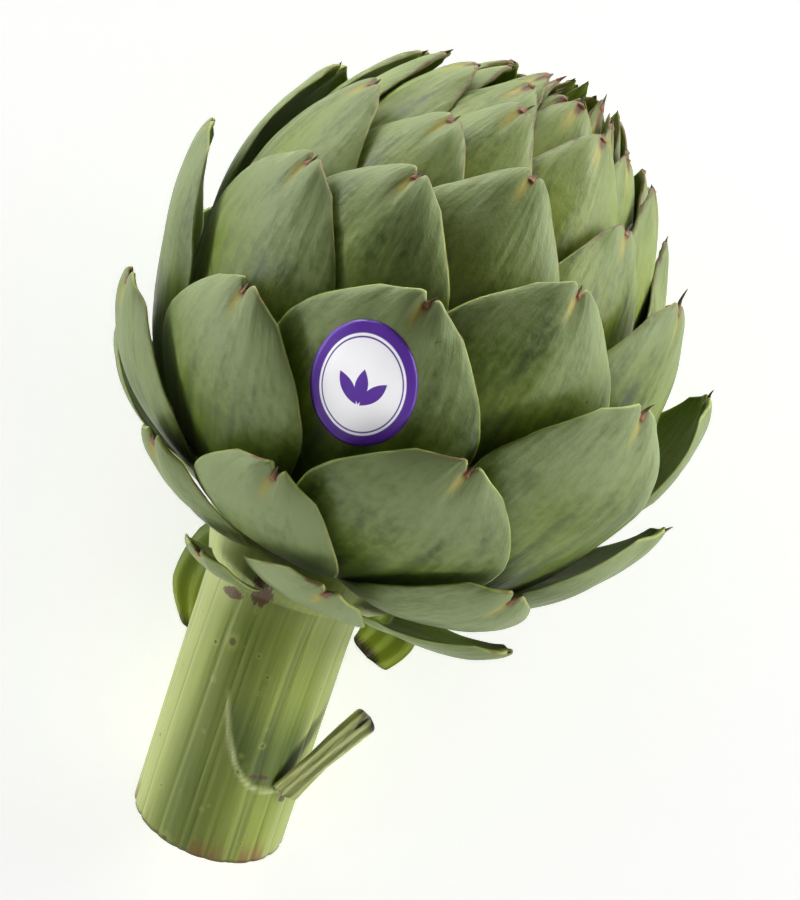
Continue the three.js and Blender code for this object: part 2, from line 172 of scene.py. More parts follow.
RAISE = math.radians(HEAD_RAISE)
AXIS = (math.cos(RAISE), 0.0, math.sin(RAISE))
TOPWARD = (-math.sin(RAISE), 0.0, math.cos(RAISE))
FULL_TURN = 2 * math.pi


def srgb(red, green, blue):
    """The linear colour of three steps from 0 to 255."""
    steps = [value / 255 for value in (red, green, blue)]
    return tuple(((s + 0.055) / 1.055) ** 2.4 if s > 0.04045 else s / 12.92 for s in steps)


# ---- numbers and fields ----

PLAIN = {
    "ADD": lambda a, b: a + b,
    "SUBTRACT": lambda a, b: a - b,
    "MULTIPLY": lambda a, b: a * b,
    "DIVIDE": lambda a, b: a / b,
    "POWER": lambda a, b: a ** b,
    "SINE": math.sin,
    "COSINE": math.cos,
    "TANGENT": math.tan,
    "ABSOLUTE": abs,
    "EXPONENT": math.exp,
    "LOGARITHM": math.log,
    "MINIMUM": min,
    "MAXIMUM": max,
    "GREATER_THAN": lambda a, b: float(a > b),
}


class Field:
    """A number that changes over a mesh or a surface. Arithmetic on it adds math nodes."""

    def __init__(self, tree, socket):
        self.tree = tree
        self.socket = socket

    def __add__(self, other):
        return work("ADD", self, other)

    __radd__ = __add__

    def __sub__(self, other):
        return work("SUBTRACT", self, other)

    def __rsub__(self, other):
        return work("SUBTRACT", other, self)

    def __mul__(self, other):
        return work("MULTIPLY", self, other)

    __rmul__ = __mul__

    def __truediv__(self, other):
        return work("DIVIDE", self, other)

    def __rtruediv__(self, other):
        return work("DIVIDE", other, self)

    def __pow__(self, other):
        return work("POWER", self, other)

    def __neg__(self):
        return work("MULTIPLY", self, -1.0)


def feed(socket, value):
    """Sets a node's input to a number, or links it to a field or another socket."""
    if isinstance(value, Field):
        value.tree.links.new(value.socket, socket)
    elif isinstance(value, bpy.types.NodeSocket):
        socket.id_data.links.new(value, socket)
    else:
        socket.default_value = value


def work(operation, *values):
    """One step of arithmetic, on plain numbers or on fields."""
    fields = [value for value in values if isinstance(value, Field)]
    if not fields:
        return PLAIN[operation](*values)
    node = fields[0].tree.nodes.new("ShaderNodeMath")
    node.operation = operation
    for socket, value in zip(node.inputs, values):
        feed(socket, value)
    return Field(node.id_data, node.outputs[0])


def sine(value):
    return work("SINE", value)


def cosine(value):
    return work("COSINE", value)


def size_of(value):
    return work("ABSOLUTE", value)


def least(value, other):
    return work("MINIMUM", value, other)


def most(value, other):
    return work("MAXIMUM", value, other)


def clamp(value):
    return least(most(value, 0.0), 1.0)


def blend(first, second, share):
    return first + (second - first) * share


def step(value, low, high):
    """0 below low, 1 above high and smooth between."""
    share = clamp((value - low) / (high - low))
    return share * share * (3.0 - 2.0 * share)


def bell(value, width):
    """1 where value is 0, falling to both sides."""
    share = value / width
    return work("EXPONENT", -(share * share))


# ---- the head's law, on plain numbers or on fields ----

def outer_radius(down, turn):
    """Distance of the head's outer form from its centre."""
    radii = []
    for power, height in ((CROWN_POWER, CROWN_HEIGHT), (BASE_POWER, BASE_DEPTH)):
        across = size_of(sine(down)) / HEAD_RADIUS
        along = size_of(cosine(down)) / height
        radii.append((across ** power + along ** power) ** (-1 / power))
    flat = FLAT_SIDE * sine(2.0 * down) * most(0.0, -sine(turn)) ** 2.0
    return blend(radii[1], radii[0] - flat, work("GREATER_THAN", cosine(down), 0.0))


def bract_at_angle(down):
    """The bract whose tip the spiral puts at this angle, as a fraction."""
    return WIDEST_BRACT - work("LOGARITHM", work("TANGENT", down / 2.0), math.e) / TIP_CLIMB


def layer_depth(number, down):
    """How deep a bract lies below the outer form."""
    return LAYER_STEP * (number - most(bract_at_angle(down), LOWEST_BRACT - 1.0))


def head_point(radius, down, turn):
    """Three coordinates in mm, from a distance, an angle from the crown and a turn."""
    out = radius * sine(down)
    along = radius * cosine(down)
    upward = out * cosine(turn)
    return (
        HEAD_CENTRE[0] + along * AXIS[0] + upward * TOPWARD[0],
        HEAD_CENTRE[1] + out * sine(turn),
        HEAD_CENTRE[2] + along * AXIS[2] + upward * TOPWARD[2],
    )


def sheet_point(bract, sideways, fall, lift):
    """A point of a bract's sheet: mm to the left of its middle, below its tip and off it."""
    down = bract["Tip Angle"] + fall / HEAD_RADIUS
    turn = bract["Heading"] + sideways / (HEAD_RADIUS * most(sine(down), 0.06))
    away = 1.0 - step(fall, 0.0, FLARE_REACH)
    curl = TIP_CURL * work("EXPONENT", -(most(fall, 0.0) / TIP_CURL_REACH))
    radius = outer_radius(down, turn) - layer_depth(bract["Layer Number"], down)
    return head_point(radius + bract["Flare"] * away - curl + lift, down, turn)


def crest(bract, across):
    """The soft keel down the middle of a bract and the turned-in sides."""
    ridge = 1.0 - (across * across + 0.02) ** 0.5
    return bract["Keel"] * ridge - bract["Cup"] * size_of(across) ** 3.0


def lobes(sideways, fall):
    """The two swellings beside the notch, with a dip between them, in mm."""
    near = 1.0 - step(fall, 3.0, 13.0)
    swelling = bell(size_of(sideways) - 4.0, 2.6) * 0.55
    return near * (swelling - bell(sideways, 1.2) * 0.5)


def half_width(bract, fall):
    """Half of a bract's width in mm, at a distance below its tip."""
    down = bract["Tip Angle"] + fall / HEAD_RADIUS
    ring = HEAD_RADIUS * most(sine(down), 0.06)
    share = clamp((fall + BLUNT) / (bract["Spread"] + BLUNT))
    return math.radians(HALF_ANGLE) * (ring + bract["Widening"]) * sine(math.pi / 2 * share)


def heart_shift(depth):
    """The heart leans sideways towards the stalk."""
    return NECK_SHIFT * step(depth, HEART_TOP_DEPTH, NECK_DEPTH)


def heart_clearance(radius, down, turn):
    """Distance of a point of the head from the heart's flank and top."""
    height = radius * math.cos(down)
    out = radius * math.sin(down) - heart_shift(-height) * math.sin(turn)
    run = HEART_RADIUS - NECK_RADIUS
    rise = NECK_DEPTH - HEART_RIM_DEPTH
    flank = ((out - NECK_RADIUS) * rise - (height + NECK_DEPTH) * run) / math.hypot(run, rise)
    return max(flank, height + HEART_TOP_DEPTH)


def bract_length(tip, heading, number, flare):
    """Down the bract until it meets the heart."""
    fall = 0.0
    while fall < 2.2 * HEAD_RADIUS:
        down = tip + fall / HEAD_RADIUS
        away = 1 - step(fall, 0.0, FLARE_REACH)
        for side in (-1, 0, 1):
            turn = heading + side * math.radians(HALF_ANGLE)
            radius = outer_radius(down, turn) - layer_depth(number, down) + flare * away - 1.7
            if heart_clearance(radius, down, turn) < 0:
                return fall
        fall += 0.5
    return fall


def stray_of(number):
    """Turn, rise and extra flare of one bract, away from the spiral."""
    if number <= LAST_LOOSE_BRACT:
        return STRAYS.get(number, (0, 0, 0))
    sway = BUD_SWAY * math.sin(BUD_SWAY_STEP * number)
    rise = BUD_RISE * math.sin(BUD_RISE_STEP * number)
    return sway, rise, 0


def bract_law(number):
    """The measures of one bract, from its number in the spiral."""
    turn, rise, extra = stray_of(number)
    tip = 2 * math.atan(math.exp(-TIP_CLIMB * (number - WIDEST_BRACT))) - rise / HEAD_RADIUS
    heading = math.radians(SPIRAL_START + SPIRAL_TURN * number + turn)
    settle = 1 / (1 + math.exp((number - 8) / 5))
    flare = FLARE_HIGH + (FLARE_LOW - FLARE_HIGH) * settle + extra
    bare = head_point(outer_radius(tip, heading), tip, heading)
    outward = (bare[2] - HEAD_CENTRE[2]) / math.dist(bare, HEAD_CENTRE)
    if outward < -0.1:
        flare = min(flare, (bare[2] + PRESSED) / -outward)
    return {
        "Tip Angle": tip,
        "Heading": heading % FULL_TURN,
        "Layer Number": float(number),
        "Flare": flare,
        "Spread": SPREAD * min(1, (2 * math.sin(tip)) ** 0.6),
        "Length": bract_length(tip, heading, number, flare),
        "Widening": float(BUD_WIDENING if number > LAST_LOOSE_BRACT else 0),
        "Maturity": (number - LOWEST_BRACT) / (LAST_BUD_BRACT - LOWEST_BRACT),
        "Seed": float((number * 7.31) % 50),
    }


# ---- sizes and colours that a user may change ----

def size_property(name, description, millimetres):
    """A length property, kept in metres."""
    return bpy.props.FloatProperty(
        name=name, description=description, default=millimetres * MM, min=0.0, unit="LENGTH", precision=5
    )


def colour_property(name, description, colour):
    """A colour property, from steps of 0 to 255."""
    return bpy.props.FloatVectorProperty(
        name=name, description=description, default=srgb(*colour), size=3, min=0.0, max=1.0, subtype="COLOR"
    )


class ArtichokeSizes(bpy.types.PropertyGroup):
    """The sizes of the bracts' details."""

    thickness: size_property("Thickness", "Thickness of a bract along its middle", 1.25)
    edge_thickness: size_property("Edge Thickness", "Thickness of a bract near its rim", 0.7)
    keel: size_property("Keel", "Height of the soft ridge down a bract", 1.1)
    cup: size_property("Turned Sides", "How far the sides of a bract turn in", 0.9)
    notch: size_property("Notch", "Depth of the notch in a bract's tip", 2.1)
    spine: size_property("Spine", "Length of the spine in the notch", 1.7)
    waviness: size_property("Waviness", "How uneven the rims of the bracts are", 0.5)


class ArtichokeColours(bpy.types.PropertyGroup):
    """The colours of the skin, the stalk and the sticker."""

    bloom: colour_property("Bloom", "Waxy bloom on the outside of a bract", (104, 117, 72))
    fresh: colour_property("Fresh Green", "Lighter green of the skin", (88, 106, 18))
    young: colour_property("Young Green", "Yellower green of the upper bracts", (122, 136, 44))
    # Deep green also serves as painted shade on the lower part of each bract.
    deep: colour_property("Deep Green", "Darker green of the skin", (42, 58, 10))
    inside: colour_property("Inside", "Inner face of a bract", (90, 106, 24))
    rim: colour_property("Rim", "Pale rim of a bract", (140, 146, 64))
    purple: colour_property("Purple", "Purple brown of the upper rims", (82, 50, 36))
    gold: colour_property("Gold", "Streak under the notch", (142, 128, 42))
    rust: colour_property("Rust", "Red brown of spines and marks", (112, 70, 30))
    brown: colour_property("Brown", "Dried spines, specks and scars", (50, 34, 16))
    leaf: colour_property("Leaf", "Bright green of the low leaves", (164, 180, 28))
    stalk_light: colour_property("Stalk Light", "Pale ribs of the stalk", (130, 146, 24))
    # Stalk Dark also serves as painted shade on the stalk's upper band and in the clasp hollow, and Pith
    # serves as painted light on the stalk's sides.
    stalk_dark: colour_property("Stalk Dark", "Furrows of the stalk", (50, 68, 6))
    stalk_mark: colour_property("Stalk Mark", "Dark dots on the stalk", (48, 48, 14))
    pith: colour_property("Pith", "Cut end of the stalk", (178, 184, 130))
    paper: colour_property("Paper", "White of the sticker", (250, 249, 252))
    ink: colour_property("Ink", "Purple of the sticker", (84, 38, 150))


# ---- geometry node trees ----

def new_tree(name, inputs):
    """A geometry tree with these named inputs, and its inputs as fields or sockets."""
    tree = bpy.data.node_groups.new(name, "GeometryNodeTree")
    for label, kind, default in inputs:
        socket = tree.interface.new_socket(label, in_out="INPUT", socket_type="NodeSocket" + kind)
        if default is not None:
            socket.default_value = default
    tree.interface.new_socket("Geometry", in_out="OUTPUT", socket_type="NodeSocketGeometry")
    entry = tree.nodes.new("NodeGroupInput")
    values = {}
    for label, kind, default in inputs:
        socket = entry.outputs[label]
        values[label] = Field(tree, socket) if kind == "Float" else socket
    return tree, values


def new_node(tree, kind, inputs=None, **settings):
    """A node with its settings and inputs."""
    node = tree.nodes.new(kind)
    for name, value in settings.items():
        setattr(node, name, value)
    for name, value in (inputs or {}).items():
        feed(node.inputs[name], value)
    return node


def vector_of(tree, values):
    """One vector socket from three numbers or fields."""
    node = new_node(tree, "ShaderNodeCombineXYZ")
    for socket, value in zip(node.inputs, values):
        feed(socket, value)
    return node.outputs[0]


def parts_of(tree, vector):
    """The three fields of a vector socket."""
    node = new_node(tree, "ShaderNodeSeparateXYZ", {"Vector": vector})
    return [Field(tree, socket) for socket in node.outputs]


def noise(tree, values, detail=2.0):
    """Noise from 0 to 1, round 0.5, at three coordinates."""
    inputs = {"Vector": vector_of(tree, values), "Scale": 1.0, "Detail": detail}
    node = new_node(tree, "ShaderNodeTexNoise", inputs)
    return Field(tree, node.outputs[0])


def store(tree, geometry, name, value):
    """Keeps a field or a vector on the points under a name."""
    kind = "FLOAT" if isinstance(value, Field) else "FLOAT_VECTOR"
    node = new_node(tree, "GeometryNodeStoreNamedAttribute", data_type=kind)
    feed(node.inputs["Geometry"], geometry)
    node.inputs["Name"].default_value = name
    feed(node.inputs["Value"], value)
    return node.outputs[0]


def kept(tree, name, kind="FLOAT_VECTOR"):
    """Reads what was kept on the points."""
    node = new_node(tree, "GeometryNodeInputNamedAttribute", {"Name": name}, data_type=kind)
    return node.outputs["Attribute"]


def ripple(tree, sideways, fall, seed):
    """Soft uneven relief of a bract's sheet, in mm."""
    broad = noise(tree, (sideways * 0.05, fall * 0.035, seed), 1.0) - 0.5
    long = noise(tree, (sideways * 0.3, fall * 0.03, seed + 9.0), 1.0) - 0.5
    return broad * 2.2 + long * 0.4 + lobes(sideways, fall)


def finish_tree(tree, geometry, point, material):
    """Puts the flat layout in its place, closes its seams and gives it its material."""
    resting = (point[0], point[1], most(point[2], 0.0))
    metres = new_node(tree, "ShaderNodeVectorMath", {
        0: vector_of(tree, resting), 1: (MM, MM, MM),
    }, operation="MULTIPLY")
    placed = new_node(tree, "GeometryNodeSetPosition", {
        "Geometry": geometry, "Position": metres.outputs[0],
    })
    closed = new_node(tree, "GeometryNodeMergeByDistance", {
        "Geometry": placed.outputs[0], "Distance": 0.00001,
    })
    smooth = new_node(tree, "GeometryNodeSetShadeSmooth", {"Geometry": closed.outputs[0]})
    real = new_node(tree, "GeometryNodeRealizeInstances", {"Geometry": smooth.outputs[0]})
    painted = new_node(tree, "GeometryNodeSetMaterial", {"Geometry": real.outputs[0], "Material": material})
    end = new_node(tree, "NodeGroupOutput")
    tree.links.new(painted.outputs[0], end.inputs[0])


BRACT_INPUTS = (
    ("Tip Angle", "Float", 1.5),
    ("Heading", "Float", 0.0),
    ("Layer Number", "Float", 0.0),
    ("Flare", "Float", 2.0),
    ("Spread", "Float", 27.0),
    ("Length", "Float", 60.0),
    ("Widening", "Float", 0.0),
    ("Maturity", "Float", 0.5),
    ("Seed", "Float", 0.0),
    ("Keel", "Float", 1.0),
    ("Cup", "Float", 1.0),
)


def bract_tree():
    """One bract: a leathery sheet with a notched tip, a rounded rim and a spine."""
    tree, given = new_tree("Bract", BRACT_INPUTS + (
        ("Root Sink", "Float", 0.0),
        ("Thickness", "Float", 1.25),
        ("Edge Thickness", "Float", 0.7),
        ("Tip Shift", "Float", 0.2),
        ("Corner Drop", "Float", 4.0),
        ("Notch", "Float", 2.1),
        ("Spine", "Float", 1.7),
        ("Spine Radius", "Float", 0.75),
        ("Spine Lean", "Float", 0.0),
        ("Waviness", "Float", 0.5),
        ("Columns", "Int", 73),
        ("Rows", "Int", 44),
        ("Material", "Material", None),
    ))
    # Flat layout: once round the section in one direction, down the bract in the other.
    grid = new_node(tree, "GeometryNodeMeshGrid", {
        "Size X": 1.0, "Size Y": 1.0, "Vertices X": given["Columns"], "Vertices Y": given["Rows"],
    })
    place = parts_of(tree, new_node(tree, "GeometryNodeInputPosition").outputs[0])
    round_share = place[0] + 0.5
    down_share = 0.5 - place[1]
    even = 1.0 - size_of(4.0 * round_share - 2.0)
    across = 0.5 * even + 0.5 * sine(math.pi / 2 * even)
    outer = work("GREATER_THAN", 0.5, round_share)
    seed = given["Seed"]
    top_half = HEAD_RADIUS * sine(given["Tip Angle"]) * math.radians(HALF_ANGLE) * 0.285
    top_side = across * top_half + given["Tip Shift"]
    notch = given["Notch"] * bell(top_side, 1.3)
    ragged = (noise(tree, (across * 5.0, seed, 3.0), 3.0) - 0.5) * given["Waviness"] * 1.2
    top = given["Corner Drop"] * size_of(across) ** 2.0 + notch + ragged
    share = down_share ** 1.5
    fall = blend(top, given["Length"], share)
    bract = dict(given)
    half = half_width(bract, fall)
    wave = 1.0 + (noise(tree, (fall * 0.11, seed, across * 0.7), 2.0) - 0.5) * given["Waviness"] * 0.16
    sideways = half * across * wave + given["Tip Shift"] * most(1.0 - fall / SPREAD, 0.0)
    below_top = fall - top
    rim_round = (1.0 - size_of(across) ** 14.0 + 0.0001) ** 0.5
    top_round = (1.0 - (1.0 - clamp(below_top / 0.7)) ** 2.0 + 0.0001) ** 0.5
    root_round = clamp((given["Length"] - fall) / 0.8) ** 0.5
    wall = blend(given["Thickness"], given["Edge Thickness"], across * across)
    wall = wall * rim_round * top_round * root_round
    lift = crest(bract, across) - given["Thickness"] / 2.0 + (outer - 0.5) * wall
    lift = lift - given["Root Sink"] * down_share ** 3.0
    edge = least(half * (1.0 - size_of(across)), below_top)
    sheet = store(tree, grid.outputs[0], "flat", vector_of(tree, (sideways, fall, lift)))
    sheet = store(tree, sheet, "kind", vector_of(tree, (1.0 - outer, 0.0, across)))
    sheet = store(tree, sheet, "edge", edge)
    # The spine: a bent cone that stands in the notch.
    cone = new_node(tree, "GeometryNodeMeshCone", {
        "Vertices": 12, "Side Segments": 8, "Radius Top": 0.12, "Radius Bottom": 1.0, "Depth": 1.0,
    })
    cone_place = parts_of(tree, new_node(tree, "GeometryNodeInputPosition").outputs[0])
    climb = cone_place[2]
    unevenness = noise(tree, (climb * 3.0, seed, cone_place[0] * 2.0)) - 0.5
    stoutness = given["Spine Radius"] * (1.0 + unevenness * 0.8)
    spine_side = cone_place[0] * stoutness + given["Spine Lean"] * climb * climb * given["Spine"]
    spine_fall = given["Notch"] + 1.1 - climb * (given["Spine"] + 1.0)
    spine_lift = cone_place[1] * stoutness - 0.45 + given["Keel"] * 0.9
    spine_lift = spine_lift + climb * climb * given["Spine"] * 0.3
    spine = store(tree, cone.outputs[0], "flat", vector_of(tree, (spine_side, spine_fall, spine_lift)))
    spine = store(tree, spine, "kind", vector_of(tree, (0.0, 0.3 + 0.7 * climb, 0.0)))
    both = new_node(tree, "GeometryNodeJoinGeometry")
    tree.links.new(spine, both.inputs[0])
    tree.links.new(sheet, both.inputs[0])
    ages = vector_of(tree, (given["Maturity"], seed, given["Spread"]))
    joined = store(tree, both.outputs[0], "age", ages)
    side, drop, rise = parts_of(tree, kept(tree, "flat"))
    height = rise + ripple(tree, side, drop, seed)
    finish_tree(tree, joined, sheet_point(bract, side, drop, height), given["Material"])
    return tree


def sticker_tree():
    """An oval film that follows the bract under it."""
    tree, given = new_tree("Sticker", BRACT_INPUTS + (
        ("Half Width", "Float", float(LABEL_HALF_WIDTH)),
        ("Half Height", "Float", float(LABEL_HALF_HEIGHT)),
        ("Below Tip", "Float", float(LABEL_DOWN)),
        ("To the Left", "Float", float(LABEL_SIDE)),
        ("Tilt", "Float", math.radians(LABEL_TILT)),
        ("Film", "Float", 0.16),
        ("Material", "Material", None),
    ))
    grid = new_node(tree, "GeometryNodeMeshGrid", {
        "Size X": 1.0, "Size Y": 1.0, "Vertices X": 97, "Vertices Y": 49,
    })
    place = parts_of(tree, new_node(tree, "GeometryNodeInputPosition").outputs[0])
    angle = place[0] * FULL_TURN
    spoke = 1.0 - size_of(2.0 * place[1])
    left = spoke * given["Half Width"] * cosine(angle)
    low = spoke * given["Half Height"] * sine(angle)
    fall = given["Below Tip"] + low * cosine(given["Tilt"]) - left * sine(given["Tilt"])
    sideways = given["To the Left"] + left * cosine(given["Tilt"]) + low * sine(given["Tilt"])
    across = sideways / half_width(given, fall)
    upper = work("GREATER_THAN", 0.0, place[1])
    lift = crest(given, across) + 0.06 + upper * given["Film"]
    film = store(tree, grid.outputs[0], "flat", vector_of(tree, (left, low, spoke)))
    height = lift + ripple(tree, sideways, fall, given["Seed"])
    finish_tree(tree, film, sheet_point(given, sideways, fall, height), given["Material"])
    return tree


def grow(name, tree, values):
    """A plain mesh object made by a tree with these inputs."""
    grown = bpy.data.objects.new(name, bpy.data.meshes.new(name))
    bpy.context.scene.collection.objects.link(grown)
    modifier = grown.modifiers.new("Tree", "NODES")
    modifier.node_group = tree
    for item in tree.interface.items_tree:
        if item.in_out == "INPUT" and item.name in values:
            modifier[item.identifier] = values[item.name]
    evaluated = grown.evaluated_get(bpy.context.evaluated_depsgraph_get())
    mesh = bpy.data.meshes.new_from_object(evaluated)
    grown.modifiers.clear()
    grown.data = mesh
    mesh.name = name
    return grown


# ---- materials ----

def colour_input(colour):
    """A colour with its fourth number."""
    return tuple(colour)[:3] + (1.0,)


def mix_colour(tree, share, first, second):
    """A colour between two colours."""
    node = new_node(tree, "ShaderNodeMix", data_type="RGBA", clamp_factor=True)
    feed(node.inputs[0], share)
    for socket, value in ((node.inputs[6], first), (node.inputs[7], second)):
        feed(socket, value if isinstance(value, bpy.types.NodeSocket) else colour_input(value))
    return node.outputs[2]


def attribute(tree, name):
    """The three fields of an attribute of the mesh."""
    node = new_node(tree, "ShaderNodeAttribute", attribute_name=name)
    return parts_of(tree, node.outputs["Vector"])


def new_group(name, inputs, outputs):
    """A shader node group with number inputs and outputs."""
    tree = bpy.data.node_groups.new(name, "ShaderNodeTree")
    for label, default in inputs:
        socket = tree.interface.new_socket(label, in_out="INPUT", socket_type="NodeSocketFloat")
        socket.default_value = default
    for label in outputs:
        tree.interface.new_socket(label, in_out="OUTPUT", socket_type="NodeSocketFloat")
    entry = new_node(tree, "NodeGroupInput")
    end = new_node(tree, "NodeGroupOutput")
    return tree, [Field(tree, entry.outputs[label]) for label, default in inputs], end


def fibre_group():
    """Long fibres and broad patches of a plant's skin, at places given in mm."""
    tree, (side, along, seed), end = new_group(
        "Plant Fibres",
        (("Sideways", 0.0), ("Along", 0.0), ("Seed", 0.0)),
        ("Fine", "Broad", "Patch", "Grain", "Mottle"),
    )
    feed(end.inputs["Fine"], noise(tree, (side * 1.1, along * 0.15, seed), 4.0))
    feed(end.inputs["Broad"], noise(tree, (side * 0.28, along * 0.035, seed + 4.0), 2.0))
    feed(end.inputs["Patch"], noise(tree, (side * 0.07, along * 0.05, seed + 8.0), 2.0))
    feed(end.inputs["Mottle"], noise(tree, (side * 0.6, along * 0.42, seed + 16.0), 5.0))
    feed(end.inputs["Grain"], noise(tree, (side * 3.0, along * 2.0, seed + 12.0), 2.0))
    return tree


def speck_group():
    """Scattered dark specks, 1 in a speck and 0 elsewhere."""
    tree, (side, along, seed, spacing, radius, share), end = new_group(
        "Specks",
        (
            ("Sideways", 0.0), ("Along", 0.0), ("Seed", 0.0),
            ("Spacing", 6.0), ("Radius", 0.4), ("Share", 0.4),
        ),
        ("Speck", "Halo"),
    )
    cells = new_node(tree, "ShaderNodeTexVoronoi", {
        "Vector": vector_of(tree, (side / spacing, along / spacing, seed)), "Scale": 1.0,
    })
    away = Field(tree, cells.outputs["Distance"]) * spacing
    lot = parts_of(tree, cells.outputs["Color"])
    chosen = work("GREATER_THAN", share, lot[0])
    reach = radius * (0.5 + lot[1])
    feed(end.inputs["Speck"], chosen * (1.0 - step(away / reach, 0.6, 1.1)))
    feed(end.inputs["Halo"], chosen * (1.0 - step(away / reach, 1.0, 2.8)))
    return tree


def use_group(tree, group, inputs):
    """Places a group, and gives its outputs as fields."""
    node = new_node(tree, "ShaderNodeGroup", node_tree=group)
    for name, value in inputs.items():
        feed(node.inputs[name], value)
    return {socket.name: Field(tree, socket) for socket in node.outputs}


def new_material(name):
    """A material with only its shader and output, and the shader node."""
    material = bpy.data.materials.new(name)
    material.use_nodes = True
    shader = material.node_tree.nodes["Principled BSDF"]
    return material, material.node_tree, shader


def add_bump(tree, shader, height, distance):
    """Fine relief on the shader's normal, distance in mm."""
    node = new_node(tree, "ShaderNodeBump", {"Strength": 1.0, "Distance": distance * MM, "Height": height})
    tree.links.new(node.outputs[0], shader.inputs["Normal"])


def bract_skin(groups, colours):
    """The waxy skin of the bracts, with a pale rim, a spine and a green inner face."""
    material, tree, shader = new_material("bract skin")
    side, fall, lift = attribute(tree, "flat")
    inner, spine, across = attribute(tree, "kind")
    age, seed, spread = attribute(tree, "age")
    edge = attribute(tree, "edge")[0]
    strand = blend(side, across * 24.0, 0.5)
    fibres = use_group(tree, groups["fibres"], {"Sideways": strand, "Along": fall, "Seed": seed})
    fine, broad, patch, grain = (fibres[name] for name in ("Fine", "Broad", "Patch", "Grain"))
    mottle = fibres["Mottle"] - 0.5
    young = step(age, 0.15, 0.8)
    # Painted shade: tone turns towards deep green from 24 to 60 mm below the tip, where the outer bract
    # below overlaps and shades this one. The rest of tone is random patches of the skin's own green.
    tone = 0.6 + (broad - 0.5) * 1.4 + (patch - 0.5) * 1.2 + mottle * 0.8 - 0.5 * step(fall, 24.0, 60.0)
    lively = mix_colour(tree, step(age, 0.26, 0.6), colours.fresh, colours.young)
    green = mix_colour(tree, clamp(tone), colours.deep, lively)
    bloom = 1.05 - 1.15 * step(fall, 4.0, 34.0) - 0.6 * young
    bloom = bloom + (patch - 0.5) * 1.4 + (fine - 0.5) * 0.35 + (broad - 0.5) * 0.7 + mottle * 1.3
    skin = mix_colour(tree, clamp(bloom), green, colours.bloom)
    gold = bell(side - 0.5, 0.8) * step(fall, 2.5, 4.0) * (1.0 - step(fall, 5.0, 10.0))
    skin = mix_colour(tree, clamp(gold * (0.2 + fine)), skin, colours.gold)
    specks = use_group(tree, groups["specks"], {
        "Sideways": side, "Along": fall, "Seed": seed, "Spacing": 5.0, "Radius": 0.3, "Share": 0.25,
    })
    skin = mix_colour(tree, specks["Speck"] * 0.6, skin, colours.brown)
    scratches = use_group(tree, groups["specks"], {
        "Sideways": (side + fall * 0.8) * 0.16, "Along": fall * 0.8 - side * 0.7, "Seed": seed + 3.0,
        "Spacing": 3.2, "Radius": 0.16, "Share": 0.14,
    })
    skin = mix_colour(tree, scratches["Speck"] * 0.6, skin, colours.deep)
    rim = 1.0 - step(edge + (fine - 0.5) * 0.3, 0.15, 0.5)
    reddish = step(noise(tree, (side * 0.14, fall * 0.14, seed + 20.0)), 0.52, 0.66)
    skin = mix_colour(tree, rim * 0.75, skin, mix_colour(tree, reddish, colours.rim, colours.rust))
    dark_rim = (1.0 - step(edge + mottle * 2.8, 0.3, 1.2)) * step(age, 0.32, 0.55)
    dark_rim = dark_rim * (1.0 - step(fall, 4.0, 14.0))
    skin = mix_colour(tree, clamp(dark_rim * 0.8), skin, colours.purple)
    scar = bell(side, 0.7) * bell(fall - 2.6, 1.1)
    nub = mix_colour(tree, clamp(0.5 + (fine - 0.5) * 0.6), colours.rust, colours.brown)
    skin = mix_colour(tree, clamp(scar * 1.6 * (0.5 + fine)), skin, nub)
    inside = mix_colour(tree, clamp(0.3 + (broad - 0.5) * 1.5 + young * 0.6), colours.inside, colours.fresh)
    skin = mix_colour(tree, inner, skin, inside)
    horn = mix_colour(tree, step(spine + mottle * 0.4, 0.4, 0.75), colours.rust, colours.brown)
    skin = mix_colour(tree, step(spine, 0.05, 0.25), skin, horn)
    tree.links.new(skin, shader.inputs["Base Color"])
    feed(shader.inputs["Roughness"], clamp(0.46 + bloom * 0.1 + (grain - 0.5) * 0.1))
    shader.inputs["Specular IOR Level"].default_value = 0.32
    shader.inputs["Sheen Weight"].default_value = 0.05
    shader.inputs["Sheen Roughness"].default_value = 0.4
    shader.inputs["Subsurface Weight"].default_value = 0.05
    shader.inputs["Subsurface Radius"].default_value = (0.0015, 0.002, 0.0006)
    shader.inputs["Subsurface Scale"].default_value = 1.0
    grooves = noise(tree, (strand * 0.34, fall * 0.035, seed + 16.0), 1.0)
    add_bump(tree, shader, fine * 0.3 + grain * 0.15 + mottle * 0.6 + broad * 0.5 + grooves * 1.2, 0.2)
    return material


def core_skin(colours):
    """What shows between the bud's blades."""
    material, tree, shader = new_material("bud core")
    shader.inputs["Base Color"].default_value = colour_input(colours.deep)
    shader.inputs["Roughness"].default_value = 0.7
    return material


